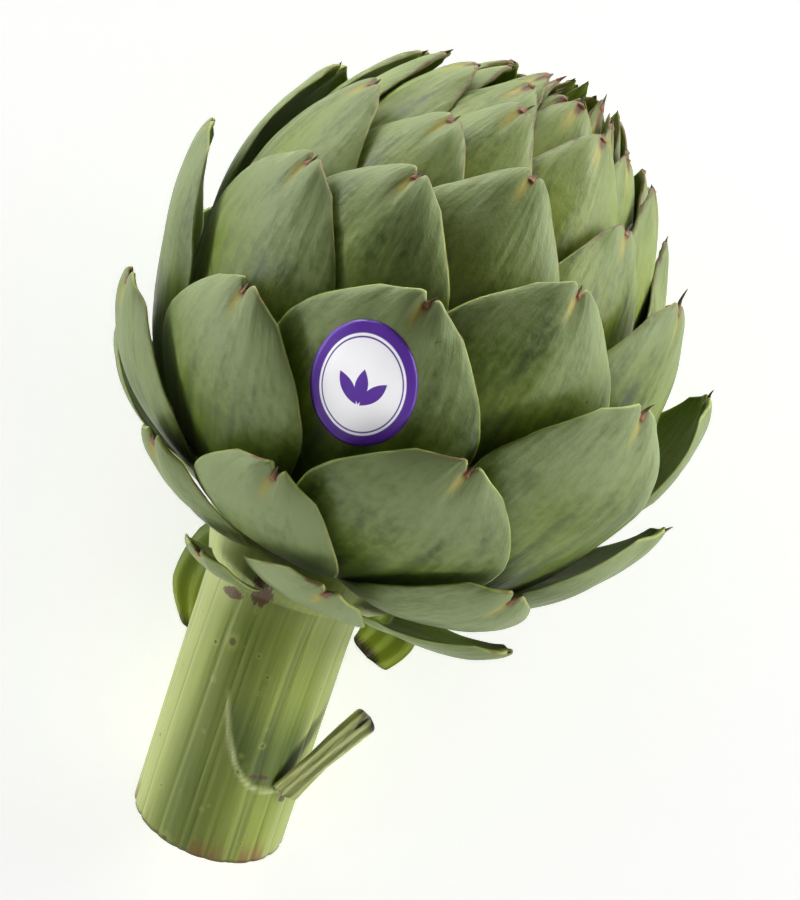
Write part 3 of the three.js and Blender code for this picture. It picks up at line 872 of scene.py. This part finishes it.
def stalk_skin(groups, colours):
    """The ribbed skin of the stalk and its cut end."""
    material, tree, shader = new_material("stalk skin")
    side, along, cut = attribute(tree, "flat")
    inner, rib, disc = attribute(tree, "kind")
    # marks: the clasp line, real stains, and painted shade in the hollow inside the clasp.
    clasp, stain, shade = attribute(tree, "marks")
    fibres = use_group(tree, groups["fibres"], {"Sideways": side, "Along": along * 0.3, "Seed": 3.0})
    fine, broad, patch, grain = (fibres[name] for name in ("Fine", "Broad", "Patch", "Grain"))
    crest_edge = step(rib, 0.4, 0.65) * (1.0 - step(rib, 0.7, 0.9))
    tone = 0.52 + (broad - 0.5) * 0.7 + (fine - 0.5) * 0.45 + (patch - 0.5) * 0.6
    # Painted shade: tone darkens in the hollow inside the clasp.
    tone = tone + crest_edge * 0.15 - shade * 0.4
    skin = mix_colour(tree, clamp(tone), colours.stalk_dark, colours.stalk_light)
    # Painted light and shade: the stalk's left and right sides are painted paler, towards pith colour, and
    # the upper band between them is painted darker, as light falling from the sides would show. The patch
    # noise adds real pale patches.
    lit_left_side = step(side, 6.0, 14.0)
    lit_right_side = 1.0 - step(side, -20.0, -16.0)
    middle = step(side, -9.0, -3.0) * (1.0 - step(side, 3.0, 9.0))
    pale_patches_and_side_light = 0.08 + lit_left_side * 0.36 + lit_right_side * 0.25 + (patch - 0.5) * 0.35 - shade * 0.1
    skin = mix_colour(tree, clamp(pale_patches_and_side_light), skin, colours.pith)
    # Painted shade: the upper band of the stalk and the hollow inside the clasp darken towards stalk dark.
    skin = mix_colour(tree, clamp(middle * 0.35 + shade * 0.2), skin, colours.stalk_dark)
    furrow = (1.0 - step(rib + (fine - 0.5) * 0.1, 0.05, 0.3)) * (0.1 + broad * 0.8)
    skin = mix_colour(tree, clamp(furrow), skin, colours.stalk_dark)
    pale = clamp(clasp + (1.0 - step(along + (fine - 0.5) * 3.0, 0.0, 5.0)) * 0.15)
    skin = mix_colour(tree, pale * 0.8, skin, colours.pith)
    specks = use_group(tree, groups["specks"], {
        "Sideways": side, "Along": along, "Seed": 5.0, "Spacing": 3.4, "Radius": 0.3, "Share": 0.5,
    })
    spots = use_group(tree, groups["specks"], {
        "Sideways": side, "Along": along, "Seed": 9.0, "Spacing": 9.0, "Radius": 0.6, "Share": 0.45,
    })
    for marks in (specks, spots):
        skin = mix_colour(tree, marks["Halo"] * 0.4, skin, colours.rim)
        skin = mix_colour(tree, marks["Speck"] * 0.75, skin, colours.stalk_mark)
    stained = step(stain + (fibres["Mottle"] + grain - 1.0) * 1.6, 0.35, 0.7) * step(stain, 0.02, 0.2)
    dark_stain = mix_colour(tree, clamp(0.4 + (fine - 0.5) * 0.8), colours.purple, colours.brown)
    skin = mix_colour(tree, stained * 0.9, skin, dark_stain)
    rusty = (1.0 - step(cut + (fine - 0.5) * 5.0, 0.3, 4.0)) * step(broad, 0.5, 0.62)
    skin = mix_colour(tree, clamp(rusty * 0.8), skin, colours.rust)
    skin = mix_colour(tree, (1.0 - step(cut, 0.1, 0.7)) * 0.6, skin, colours.brown)
    flesh = mix_colour(tree, step(disc, 0.78, 0.9), colours.pith, colours.stalk_dark)
    flesh = mix_colour(tree, clamp((grain - 0.55) * 3.0), flesh, colours.rim)
    skin = mix_colour(tree, inner, skin, flesh)
    tree.links.new(skin, shader.inputs["Base Color"])
    feed(shader.inputs["Roughness"], clamp(0.5 + (fine - 0.5) * 0.2 + inner * 0.3))
    shader.inputs["Specular IOR Level"].default_value = 0.3
    add_bump(tree, shader, fine * 0.8 + grain * 0.3, 0.2)
    return material


def leaf_skin(groups, colours):
    """The skin of the small leaves under the head and on the stalk."""
    material, tree, shader = new_material("low leaf skin")
    side, along, edge = attribute(tree, "flat")
    inner, dry, tip = attribute(tree, "kind")
    fibres = use_group(tree, groups["fibres"], {"Sideways": side * 1.6, "Along": along, "Seed": 21.0})
    fine, broad, patch, grain = (fibres[name] for name in ("Fine", "Broad", "Patch", "Grain"))
    brightness = clamp(step(tip, 0.3, 1.0) * 0.6 + (fine - 0.5) * 0.15)
    lush = mix_colour(tree, brightness, colours.fresh, colours.leaf)
    dusty = mix_colour(tree, clamp(0.3 + (patch - 0.5) * 2.0), colours.rim, colours.pith)
    fibrous = mix_colour(tree, clamp(0.72 + (fine - 0.5) * 1.5 + (broad - 0.5) * 0.8), colours.deep, dusty)
    skin = mix_colour(tree, dry, lush, fibrous)
    rim = 1.0 - step(edge, 0.15, 0.6)
    skin = mix_colour(tree, rim * 0.25, skin, mix_colour(tree, dry, colours.purple, colours.leaf))
    dried = step(tip + (fine - 0.5) * 0.2 + (patch - 0.5) * 0.3, 0.86, 0.98)
    skin = mix_colour(tree, dried, skin, colours.brown)
    tree.links.new(skin, shader.inputs["Base Color"])
    shader.inputs["Roughness"].default_value = 0.5
    add_bump(tree, shader, fine * (0.25 + dry * 0.75) + grain * 0.2, 0.25)
    return material


def sticker_paper(colours):
    """White film with a purple border and a plain sprig of three leaves."""
    material, tree, shader = new_material("sticker film")
    left, low, spoke = attribute(tree, "flat")
    border = step(spoke, 0.80, 0.815)
    line = step(spoke, 0.735, 0.745) * (1.0 - step(spoke, 0.760, 0.770))
    sprig = None
    for turn in (-38, 0, 38):
        angle = math.radians(turn)
        out = (4.4 - low) * math.cos(angle) + left * math.sin(angle) - 4.3
        off = left * math.cos(angle) - (4.4 - low) * math.sin(angle)
        leaf = 1.0 - step((out / 3.7) ** 2.0 + size_of(off) / 1.35, 0.97, 1.03)
        sprig = leaf if sprig is None else most(sprig, leaf)
    art = most(most(border, line), sprig)
    colour = mix_colour(tree, art, colours.paper, colours.ink)
    tree.links.new(colour, shader.inputs["Base Color"])
    shader.inputs["Roughness"].default_value = 0.32
    return material


def floor_paint():
    """Matt off-white floor, lit a little from beneath, with a faint unevenness."""
    material, tree, shader = new_material("floor paint")
    place = parts_of(tree, new_node(tree, "ShaderNodeTexCoord").outputs["Object"])
    cloud = noise(tree, [value * 3.0 for value in place], 2.0)
    tone = mix_colour(tree, cloud, (0.86, 0.86, 0.855), (0.89, 0.89, 0.885))
    tree.links.new(tone, shader.inputs["Base Color"])
    shader.inputs["Roughness"].default_value = 0.9
    shader.inputs["Specular IOR Level"].default_value = 0.2
    shader.inputs["Emission Color"].default_value = (1.0, 1.0, 1.0, 1.0)
    shader.inputs["Emission Strength"].default_value = FLOOR_GLOW
    return material


def finishes():
    """All materials, made once."""
    if "bract skin" not in bpy.data.materials:
        colours = bpy.context.scene.artichoke_colours
        groups = {"fibres": fibre_group(), "specks": speck_group()}
        bract_skin(groups, colours)
        core_skin(colours)
        stalk_skin(groups, colours)
        leaf_skin(groups, colours)
        sticker_paper(colours)
        floor_paint()
    return bpy.data.materials


# ---- meshes made point by point ----

def mesh_object(name, points, faces, attributes, material):
    """An object from points in mm, faces and per-point vectors."""
    mesh = bpy.data.meshes.new(name)
    mesh.from_pydata([tuple(MM * value for value in point) for point in points], [], faces)
    for label, values in attributes.items():
        layer = mesh.attributes.new(label, "FLOAT_VECTOR", "POINT")
        layer.data.foreach_set("vector", np.asarray(values, dtype=np.float32).ravel())
    mesh.polygons.foreach_set("use_smooth", [True] * len(mesh.polygons))
    mesh.update()
    made = bpy.data.objects.new(name, mesh)
    bpy.context.scene.collection.objects.link(made)
    mesh.materials.append(material)
    return made


def ring_faces(rings, sides):
    """Faces of rings of points, one after another, with a pole before and after them."""
    faces = []
    for ring in range(rings - 1):
        for side in range(sides):
            following = (side + 1) % sides
            low, high = ring * sides, (ring + 1) * sides
            faces.append((low + side, low + following, high + following, high + side))
    first, last = rings * sides, rings * sides + 1
    end = (rings - 1) * sides
    for side in range(sides):
        following = (side + 1) % sides
        faces.append((first, following, side))
        faces.append((last, end + side, end + following))
    return faces


def outward(made):
    """Turns a closed mesh's faces outwards."""
    work_mesh = bmesh.new()
    work_mesh.from_mesh(made.data)
    bmesh.ops.recalc_face_normals(work_mesh, faces=work_mesh.faces)
    work_mesh.to_mesh(made.data)
    work_mesh.free()


def stalk_path(share):
    """Middle of the stalk, and the way it runs, at a share of its length."""
    under = Vector((HEAD_CENTRE[0], HEAD_CENTRE[1], 0))
    start = heart_middle(NECK_DEPTH)
    bend = Vector(STALK_BEND) + under
    end = Vector(STALK_END) + under
    middle = start * (1 - share) ** 2 + bend * (2 * share * (1 - share)) + end * share ** 2
    along = (bend - start) * (2 * (1 - share)) + (end - bend) * (2 * share)
    return middle, along.normalized()


def heart_middle(depth):
    """Middle of the heart at a depth below the head's centre."""
    middle = Vector(HEAD_CENTRE) - Vector(AXIS) * depth
    return middle + Vector((0, 1, 0)) * heart_shift(depth)


def stalk_ring(along, angle):
    """Unit vector out of the stalk at an angle from its upper side."""
    left = Vector((0, 1, 0))
    left = (left - along * left.dot(along)).normalized()
    upper = left.cross(along).normalized()
    return upper * math.cos(angle) + left * math.sin(angle)


def make_stalk_mesh(material):
    """Heart and stalk in one closed mesh, ribbed below the neck."""
    sides = 240
    profile = [(HEART_TOP_DEPTH + 1, HEART_RADIUS - 14), (HEART_TOP_DEPTH + 5, HEART_RADIUS - 3.5)]
    profile.append((HEART_RIM_DEPTH, HEART_RADIUS))
    profile.append(((HEART_RIM_DEPTH + NECK_DEPTH) / 2, (HEART_RADIUS + NECK_RADIUS) / 2))
    points = []
    flat = []
    kind = []
    marks = []
    for depth, radius in profile:
        for side in range(sides):
            angle = FULL_TURN * side / sides
            out = stalk_ring(-Vector(AXIS), angle)
            points.append(heart_middle(depth) + out * radius)
            flat.append((radius * signed(angle), -(NECK_DEPTH - depth), 60))
            kind.append((0, 0.5, 0))
            marks.append((0, 0, 0))
    rings = len(profile)
    length = 0.0
    previous = None
    steps = 90
    for index in range(steps + 1):
        share = index / steps
        centre, along = stalk_path(share)
        length += (centre - previous).length if previous else 0.0
        previous = centre
        cut = share ** 4
        ramp = min(1, share * 4)
        radius = NECK_RADIUS + (STALK_RADIUS - NECK_RADIUS) * ramp
        left_of = (1 - share) * 58
        for side in range(sides):
            angle = FULL_TURN * side / sides
            rib = rib_height(angle, length)
            mark = stalk_marks(signed(angle), length)
            reach = radius + ramp * (RIB_HEIGHT * rib - 0.1) + 0.35 * mark[0] - 0.3 * mark[2]
            slope = CUT_SLOPE_UP * math.cos(angle) + CUT_SLOPE_LEFT * math.sin(angle)
            out = stalk_ring(along, angle)
            points.append(centre + out * reach + along * (reach * slope * cut))
            flat.append((radius * signed(angle), length, left_of))
            kind.append((0, rib, 0))
            marks.append(mark)
        rings += 1
    # The cut: a narrow rounded rim, then flesh that has sunk a little.
    rim_centre, along = stalk_path(1)
    for share in (0.975, 0.93, 0.86, 0.76, 0.64, 0.5, 0.36, 0.22, 0.1):
        sink = 0.35 if share == 0.975 else 0.25 - 0.9 * math.sin(math.pi * min(1, (1 - share) / 0.5)) ** 2
        for side in range(sides):
            angle = FULL_TURN * side / sides
            rib = rib_height(angle, length)
            reach = (STALK_RADIUS + RIB_HEIGHT * rib - 0.1) * share
            slope = CUT_SLOPE_UP * math.cos(angle) + CUT_SLOPE_LEFT * math.sin(angle)
            fibre = 0.12 * math.sin(17 * angle + 40 * share) * share
            out = stalk_ring(along, angle)
            points.append(rim_centre + out * reach + along * (reach * slope + sink + fibre - 0.25))
            flat.append((reach * math.cos(angle), reach * math.sin(angle), 0))
            kind.append((1, 0.5, share))
            marks.append((0, 0, 0))
        rings += 1
    points += [heart_middle(HEART_TOP_DEPTH), rim_centre]
    flat += [(0, -40, 60), (0, 0, 0)]
    kind += [(0, 0.5, 0), (1, 0.5, 0)]
    marks += [(0, 0, 0), (0, 0, 0)]
    lowest = [Vector((p.x, p.y, max(p.z, 0.0))) for p in points]
    layers = {"flat": flat, "kind": kind, "marks": marks}
    made = mesh_object("ribbed_stalk", lowest, ring_faces(rings, sides), layers, material)
    outward(made)
    return made


def signed(angle):
    """An angle between minus and plus half a turn."""
    return (angle + math.pi) % FULL_TURN - math.pi


def segment_distance(point, first, second):
    """Distance of a flat point from a straight piece of line."""
    run = (second[0] - first[0], second[1] - first[1])
    off = (point[0] - first[0], point[1] - first[1])
    share = clamp((off[0] * run[0] + off[1] * run[1]) / (run[0] ** 2 + run[1] ** 2))
    return math.hypot(off[0] - run[0] * share, off[1] - run[1] * share)


def clasp_run(degrees):
    """How far down the stalk, in mm, the line of the clasping leaf runs at this angle."""
    share = max(0.0, (degrees - CLASP_MIDDLE) / CLASP_HALF_ANGLE)
    return CLASP_BOTTOM - CLASP_HEIGHT * share ** CLASP_CURVE


def stalk_marks(angle, length):
    """The clasping line of the stalk leaf, stained places, and the hollow inside the clasp, which is dented
    a little and painted darker as shade.
    """
    around = STALK_RADIUS * angle
    place = math.degrees(angle)
    turns = range(CLASP_END, CLASP_MIDDLE + CLASP_HALF_ANGLE + 8, 5)
    line = [(STALK_RADIUS * math.radians(turn), clasp_run(turn)) for turn in turns]
    near = min(segment_distance((around, length), *ends) for ends in zip(line, line[1:]))
    clasp = bell(near, 0.42) * step(length, 14, 24)
    stain = 0.0
    for degrees, run, wide, high in STAINS:
        away = math.hypot((around - STALK_RADIUS * math.radians(degrees)) / wide, (length - run) / high)
        stain = max(stain, 1 - step(away, 0.5, 1.0))
    above = 1 - step(length - clasp_run(place), -1.5, 0.5)
    hollow = above * step(length, 14, 30) * step(place, CLASP_END - 4, CLASP_END + 5)
    return clasp, stain, hollow


def rib_height(angle, length):
    """From 0 in a furrow to 1 on a rib."""
    drift = 0.9 * math.sin(length * 0.06 + 3 * angle)
    degrees = math.degrees(signed(angle)) + drift
    away = [abs((degrees - furrow + 180) % 360 - 180) for furrow in FURROWS]
    near = min(away) * math.radians(STALK_RADIUS)
    fine = 0.5 + 0.5 * math.cos(37 * angle + 1.3)
    return 0.9 * (1 - math.exp(-(near / 0.6) ** 1.3)) + 0.1 * fine


def make_core_mesh(material):
    """The closed core that the bud's blades grow from."""
    sides, rings = 72, 30

    def reach(down, turn):
        number = blend(CROWN_CORE_BRACT, BASE_CORE_BRACT, step(down, math.pi / 4, 0.6 * math.pi))
        return outer_radius(down, turn) - max(CAP_DEPTH, layer_depth(number, down))

    lowest = math.pi / 2
    while heart_clearance(reach(lowest, 0), lowest, 0) > 0.4:
        lowest += 0.002
    points = []
    for ring in range(1, rings + 1):
        down = lowest * ring / rings
        for side in range(sides):
            turn = FULL_TURN * side / sides
            points.append(head_point(reach(down, turn), down, turn))
    points.append(head_point(reach(0.001, 0), 0.0, 0.0))
    points.append(head_point(-reach(lowest, 0) * math.cos(lowest), math.pi, 0.0))
    made = mesh_object("bud_core", points, ring_faces(rings, sides), {}, material)
    outward(made)
    return made


def make_leaf_mesh(name, leaf, material):
    """A small leaf along a curved line, with a thin rounded rim."""
    line = [Vector(point) + Vector((HEAD_CENTRE[0], HEAD_CENTRE[1], 0)) for point in leaf["line"]]
    rows, section = 60, 48
    points, flat, kind = [], [], []
    run = 0.0
    previous = None
    for row in range(rows + 1):
        share = row / rows
        centre, along = spline(line, share)
        run += (centre - previous).length if previous else 0.0
        previous = centre
        side = Vector(leaf["face"]).cross(along).normalized()
        normal = along.cross(side)
        half = between(leaf["half_widths"], share)
        end = min(1, share / 0.03, (1 - share) / 0.06)
        half *= math.sqrt(1 - (1 - end) ** 2 + 1e-4)
        for index in range(section):
            angle = FULL_TURN * index / section
            across = math.cos(angle)
            pulled = share * (1 - leaf["split"] * bell(across - 0.1, 0.22) * share ** 6)
            centre = spline(line, pulled)[0]
            wall = leaf["thickness"] / 2 * math.sin(angle) * (1 - abs(across) ** 6 * 0.6)
            ridge = leaf["cup"] * half * across ** 2 + 0.2 * math.sin(across * 9 + share * 3)
            points.append(centre + side * (across * half) + normal * (ridge + wall - leaf["thickness"] / 2))
            flat.append((across * half, run, half * (1 - abs(across))))
            kind.append((0, leaf["dry"], share))
    first, along = spline(line, 0)
    last, along = spline(line, 1)
    points += [first, last]
    flat += [(0, 0, 0), (0, run, 0)]
    kind += [(0, leaf["dry"], 0), (0, leaf["dry"], 1)]
    made = mesh_object(name, points, ring_faces(rows + 1, section), {"flat": flat, "kind": kind}, material)
    outward(made)
    return made


def spline(line, share):
    """Point and direction on a smooth curve through the line's points."""
    place = share * (len(line) - 1)
    index = min(int(place), len(line) - 2)
    t = place - index
    p1, p2 = line[index], line[index + 1]
    p0 = line[index - 1] if index > 0 else p1 * 2 - p2
    p3 = line[index + 2] if index + 2 < len(line) else p2 * 2 - p1
    square = 2 * p0 - 5 * p1 + 4 * p2 - p3
    cube = 3 * p1 - p0 - 3 * p2 + p3
    point = 0.5 * (2 * p1 + (p2 - p0) * t + square * t * t + cube * t ** 3)
    along = 0.5 * ((p2 - p0) + 2 * square * t + 3 * cube * t * t)
    return point, along.normalized()


def between(values, share):
    """A value from evenly spaced ones."""
    place = share * (len(values) - 1)
    index = min(int(place), len(values) - 2)
    return values[index] + (values[index + 1] - values[index]) * (place - index)


# Purple or dried stains: degrees round the stalk, mm down it, half width and half height.
STAINS = (
    (4, -1, 3.2, 3.0),
    (26, 1, 3.5, 1.0),
    (-78, -1, 3.0, 1.6),
    (-41, 34, 3.4, 0.7),
    (-68, 39.3, 1.5, 1.2),
)


def arched_line(root, heading, length):
    """Four points along a leaf that runs straight out and arches up a little, in mm."""
    turn = math.radians(heading)
    line = []
    for share in (-LEAF_TUCK, 1 / 3, 2 / 3, 1):
        height = LEAF_ARCH * math.sin(LEAF_CURVE * share)
        if share < 0:
            height -= LEAF_SINK
        line.append((
            root[0] + share * length * math.cos(turn),
            root[1] + share * length * math.sin(turn),
            root[2] + height,
        ))
    return line


LOW_LEAVES = {
    "leaf_low_left": {
        "line": [(-45, 11, 23.4), (-52.6, 14.5, 20), (-61, 14, 17.5), (-69, 9.5, 15)],
        "half_widths": [5, 6.5, 6, 2.4],
        "face": (0, 0.2, 1),
        "thickness": 1.1,
        "cup": 0.12,
        "split": 0.0,
        "dry": 0.0,
    },
    "leaf_low_right": {
        "line": [(-33, -21, 18), (-40, -23, 17), (-47, -24, 15.5), (-53, -23, 14)],
        "half_widths": [5, 6, 6, 4.6],
        "face": (0, -0.2, 1),
        "thickness": 1.1,
        "cup": 0.12,
        "split": 0.05,
        "dry": 0.0,
    },
    "stalk_leaf": {
        "line": arched_line(STALK_LEAF_ROOT, STALK_LEAF_HEADING, STALK_LEAF_LENGTH),
        "half_widths": [3.4, 2.7, 3.0, 3.1],
        "face": (0.2, -0.6, 0.8),
        "thickness": 1.3,
        "cup": 0.15,
        "split": 0.24,
        "dry": 1.0,
    },
}


# ---- operators ----

def bract_values(number):
    """All inputs of the bract tree for one bract."""
    sizes = bpy.context.scene.artichoke_sizes
    values = bract_law(number)
    values.update({
        "Keel": sizes.keel / MM,
        "Cup": sizes.cup / MM,
        "Thickness": sizes.thickness / MM,
        "Edge Thickness": sizes.edge_thickness / MM,
        "Notch": sizes.notch / MM,
        "Spine": LONG_SPINES.get(number, sizes.spine / MM),
        "Spine Lean": 0.35 * math.sin(number * 2.1) - 0.2,
        "Waviness": sizes.waviness / MM,
        "Material": finishes()["bract skin"],
    })
    return values


def shared_tree(name, build):
    """A tree that is built the first time it is asked for."""
    return bpy.data.node_groups.get(name) or build()


class ARTICHOKE_OT_bracts(bpy.types.Operator):
    """Make the loose bracts, each a sheet of its own"""

    bl_idname = "artichoke.bracts"
    bl_label = "Loose Bracts"

    def execute(self, context):
        tree = shared_tree("Bract", bract_tree)
        for number in range(LOWEST_BRACT, LAST_LOOSE_BRACT + 1):
            if number in LOST_BRACTS + BENT_BRACTS:
                continue
            label = f"{number - LOWEST_BRACT + 1:02d}"
            bract = grow(f"loose_bract_{label}", tree, bract_values(number))
            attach(bract, "root")
            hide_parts(f"bract_{label}")
        return {"FINISHED"}


class ARTICHOKE_OT_bud(bpy.types.Operator):
    """Make the closed bud: a core with the inner bracts' ends on it"""

    bl_idname = "artichoke.bud"
    bl_label = "Bud"

    def execute(self, context):
        tree = shared_tree("Bract", bract_tree)
        blades = []
        for number in range(LAST_LOOSE_BRACT + 1, LAST_BUD_BRACT + 1):
            values = bract_values(number)
            values["Length"] = min(BUD_BLADE_LENGTH, values["Length"])
            values["Root Sink"] = 1.0
            values["Columns"] = 49
            values["Rows"] = 28
            values["Spine"] = 0.15 + 0.3 * math.sin(number * 2.7) ** 2
            values["Spine Radius"] = 0.95
            values["Notch"] = 0.9
            blades.append(grow(f"blade_{number}", tree, values))
        core = make_core_mesh(finishes()["bud core"])
        with context.temp_override(active_object=core, selected_editable_objects=[core, *blades]):
            bpy.ops.object.join()
        core.name = "closed_bud"
        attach(core, "root")
        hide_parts("bud")
        return {"FINISHED"}


class ARTICHOKE_OT_stalk(bpy.types.Operator):
    """Make the heart and the ribbed stalk with its slanting cut"""

    bl_idname = "artichoke.stalk"
    bl_label = "Stalk"

    def execute(self, context):
        stalk = make_stalk_mesh(finishes()["stalk skin"])
        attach(stalk, "root")
        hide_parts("stalk")
        return {"FINISHED"}


class ARTICHOKE_OT_low_leaves(bpy.types.Operator):
    """Make the two bent-back leaves and the leaf on the stalk"""

    bl_idname = "artichoke.low_leaves"
    bl_label = "Low Leaves"

    def execute(self, context):
        for node, leaf in LOW_LEAVES.items():
            made = make_leaf_mesh(f"small_{node}", leaf, finishes()["low leaf skin"])
            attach(made, "root")
            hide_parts(node)
        return {"FINISHED"}


class ARTICHOKE_OT_sticker(bpy.types.Operator):
    """Make the oval sticker on the front bract"""

    bl_idname = "artichoke.sticker"
    bl_label = "Sticker"

    def execute(self, context):
        values = bract_values(LABEL_BRACT)
        values["Material"] = finishes()["sticker film"]
        film = grow("oval_sticker", shared_tree("Sticker", sticker_tree), values)
        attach(film, "root")
        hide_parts("label")
        return {"FINISHED"}


def camera_frame():
    """Right, up and backward directions of the camera."""
    azimuth, height = math.radians(CAMERA_AZIMUTH), math.radians(CAMERA_HEIGHT)
    ahead = Vector((-math.sin(azimuth), math.cos(azimuth), 0))
    right = Vector((math.cos(azimuth), math.sin(azimuth), 0))
    back = ahead * -math.cos(height) + Vector((0, 0, 1)) * math.sin(height)
    return right, back.cross(right), back


def make_room():
    """A room that is bright all round at floor level and dim overhead."""
    world = bpy.data.worlds.new("soft room")
    world.use_nodes = True
    tree = world.node_tree
    ahead, left, height = parts_of(tree, new_node(tree, "ShaderNodeTexCoord").outputs["Generated"])
    background = tree.nodes["Background"]
    background.inputs["Color"].default_value = (1.0, 1.0, 1.0, 1.0)
    wall = WALL_GLOW * (1.0 + BRIGHT_SIDE_SHARE * (ahead * BRIGHT_SIDE[0] + left * BRIGHT_SIDE[1]))
    feed(background.inputs["Strength"], blend(wall, CEILING_GLOW, step(height, *WALL_TOP)))
    return world


def add_light(name, place, size, watts, colour):
    """An area light that looks at the head."""
    right, up, back = camera_frame()
    data = bpy.data.lights.new(name, "AREA")
    data.shape = "DISK"
    data.size = size
    data.energy = watts
    data.color = colour
    lamp = bpy.data.objects.new(name, data)
    middle = Vector(HEAD_CENTRE) * MM
    lamp.location = middle + right * place[0] + up * place[1] + back * place[2]
    lamp.rotation_euler = (lamp.location - middle).to_track_quat("Z", "Y").to_euler()
    bpy.context.scene.collection.objects.link(lamp)


class ARTICHOKE_OT_stage(bpy.types.Operator):
    """Make the pale floor, the soft lights and the camera"""

    bl_idname = "artichoke.stage"
    bl_label = "Stage"

    def execute(self, context):
        scene = context.scene
        bpy.ops.mesh.primitive_plane_add(size=8, location=(0, 0, 0))
        floor = context.object
        floor.name = "pale_floor"
        floor.data.materials.append(finishes()["floor paint"])
        right, up, back = camera_frame()
        data = bpy.data.cameras.new("camera")
        data.lens = CAMERA_LENS
        data.sensor_width = 36
        data.clip_start = 0.01
        camera = bpy.data.objects.new("camera", data)
        place = Vector(HEAD_CENTRE) + back * CAMERA_DISTANCE + right * CAMERA_SIDE + up * CAMERA_RISE
        camera.location = place * MM
        camera.rotation_euler = Matrix((right, up, back)).transposed().to_euler()
        scene.collection.objects.link(camera)
        scene.camera = camera
        add_light("left light", (-0.9, 0.1, 0.12), 0.5, LEFT_LIGHT_POWER, (1.0, 1.0, 0.98))
        add_light("right light", (0.9, 0.15, 0.12), 0.5, RIGHT_LIGHT_POWER, (1.0, 1.0, 0.98))
        scene.world = make_room()
        scene.view_settings.view_transform = "Standard"
        return {"FINISHED"}


class ARTICHOKE_PT_panel(bpy.types.Panel):
    """Lists the artichoke's pieces, sizes and colours"""

    bl_idname = "ARTICHOKE_PT_panel"
    bl_label = "Artichoke"
    bl_space_type = "VIEW_3D"
    bl_region_type = "UI"
    bl_category = "Artichoke"

    def draw(self, context):
        for operator in OPERATORS:
            self.layout.operator(operator.bl_idname)
        for group in (context.scene.artichoke_sizes, context.scene.artichoke_colours):
            for name in group.__annotations__:
                self.layout.prop(group, name)


OPERATORS = (
    ARTICHOKE_OT_bracts,
    ARTICHOKE_OT_bud,
    ARTICHOKE_OT_stalk,
    ARTICHOKE_OT_low_leaves,
    ARTICHOKE_OT_sticker,
    ARTICHOKE_OT_stage,
)
CLASSES = (ArtichokeSizes, ArtichokeColours, *OPERATORS, ARTICHOKE_PT_panel)


def register():
    """Adds the classes and the scene's settings."""
    for kind in CLASSES:
        bpy.utils.register_class(kind)
    bpy.types.Scene.artichoke_sizes = bpy.props.PointerProperty(type=ArtichokeSizes)
    bpy.types.Scene.artichoke_colours = bpy.props.PointerProperty(type=ArtichokeColours)


def unregister():
    """Takes the classes and the scene's settings away."""
    del bpy.types.Scene.artichoke_colours
    del bpy.types.Scene.artichoke_sizes
    for kind in reversed(CLASSES):
        bpy.utils.unregister_class(kind)


def main():
    """Makes the artichoke and its stage."""
    register()
    bpy.ops.artichoke.bracts()
    bpy.ops.artichoke.bud()
    bpy.ops.artichoke.stalk()
    bpy.ops.artichoke.low_leaves()
    bpy.ops.artichoke.sticker()
    bpy.ops.artichoke.stage()


if __name__ == "__main__":
    main()
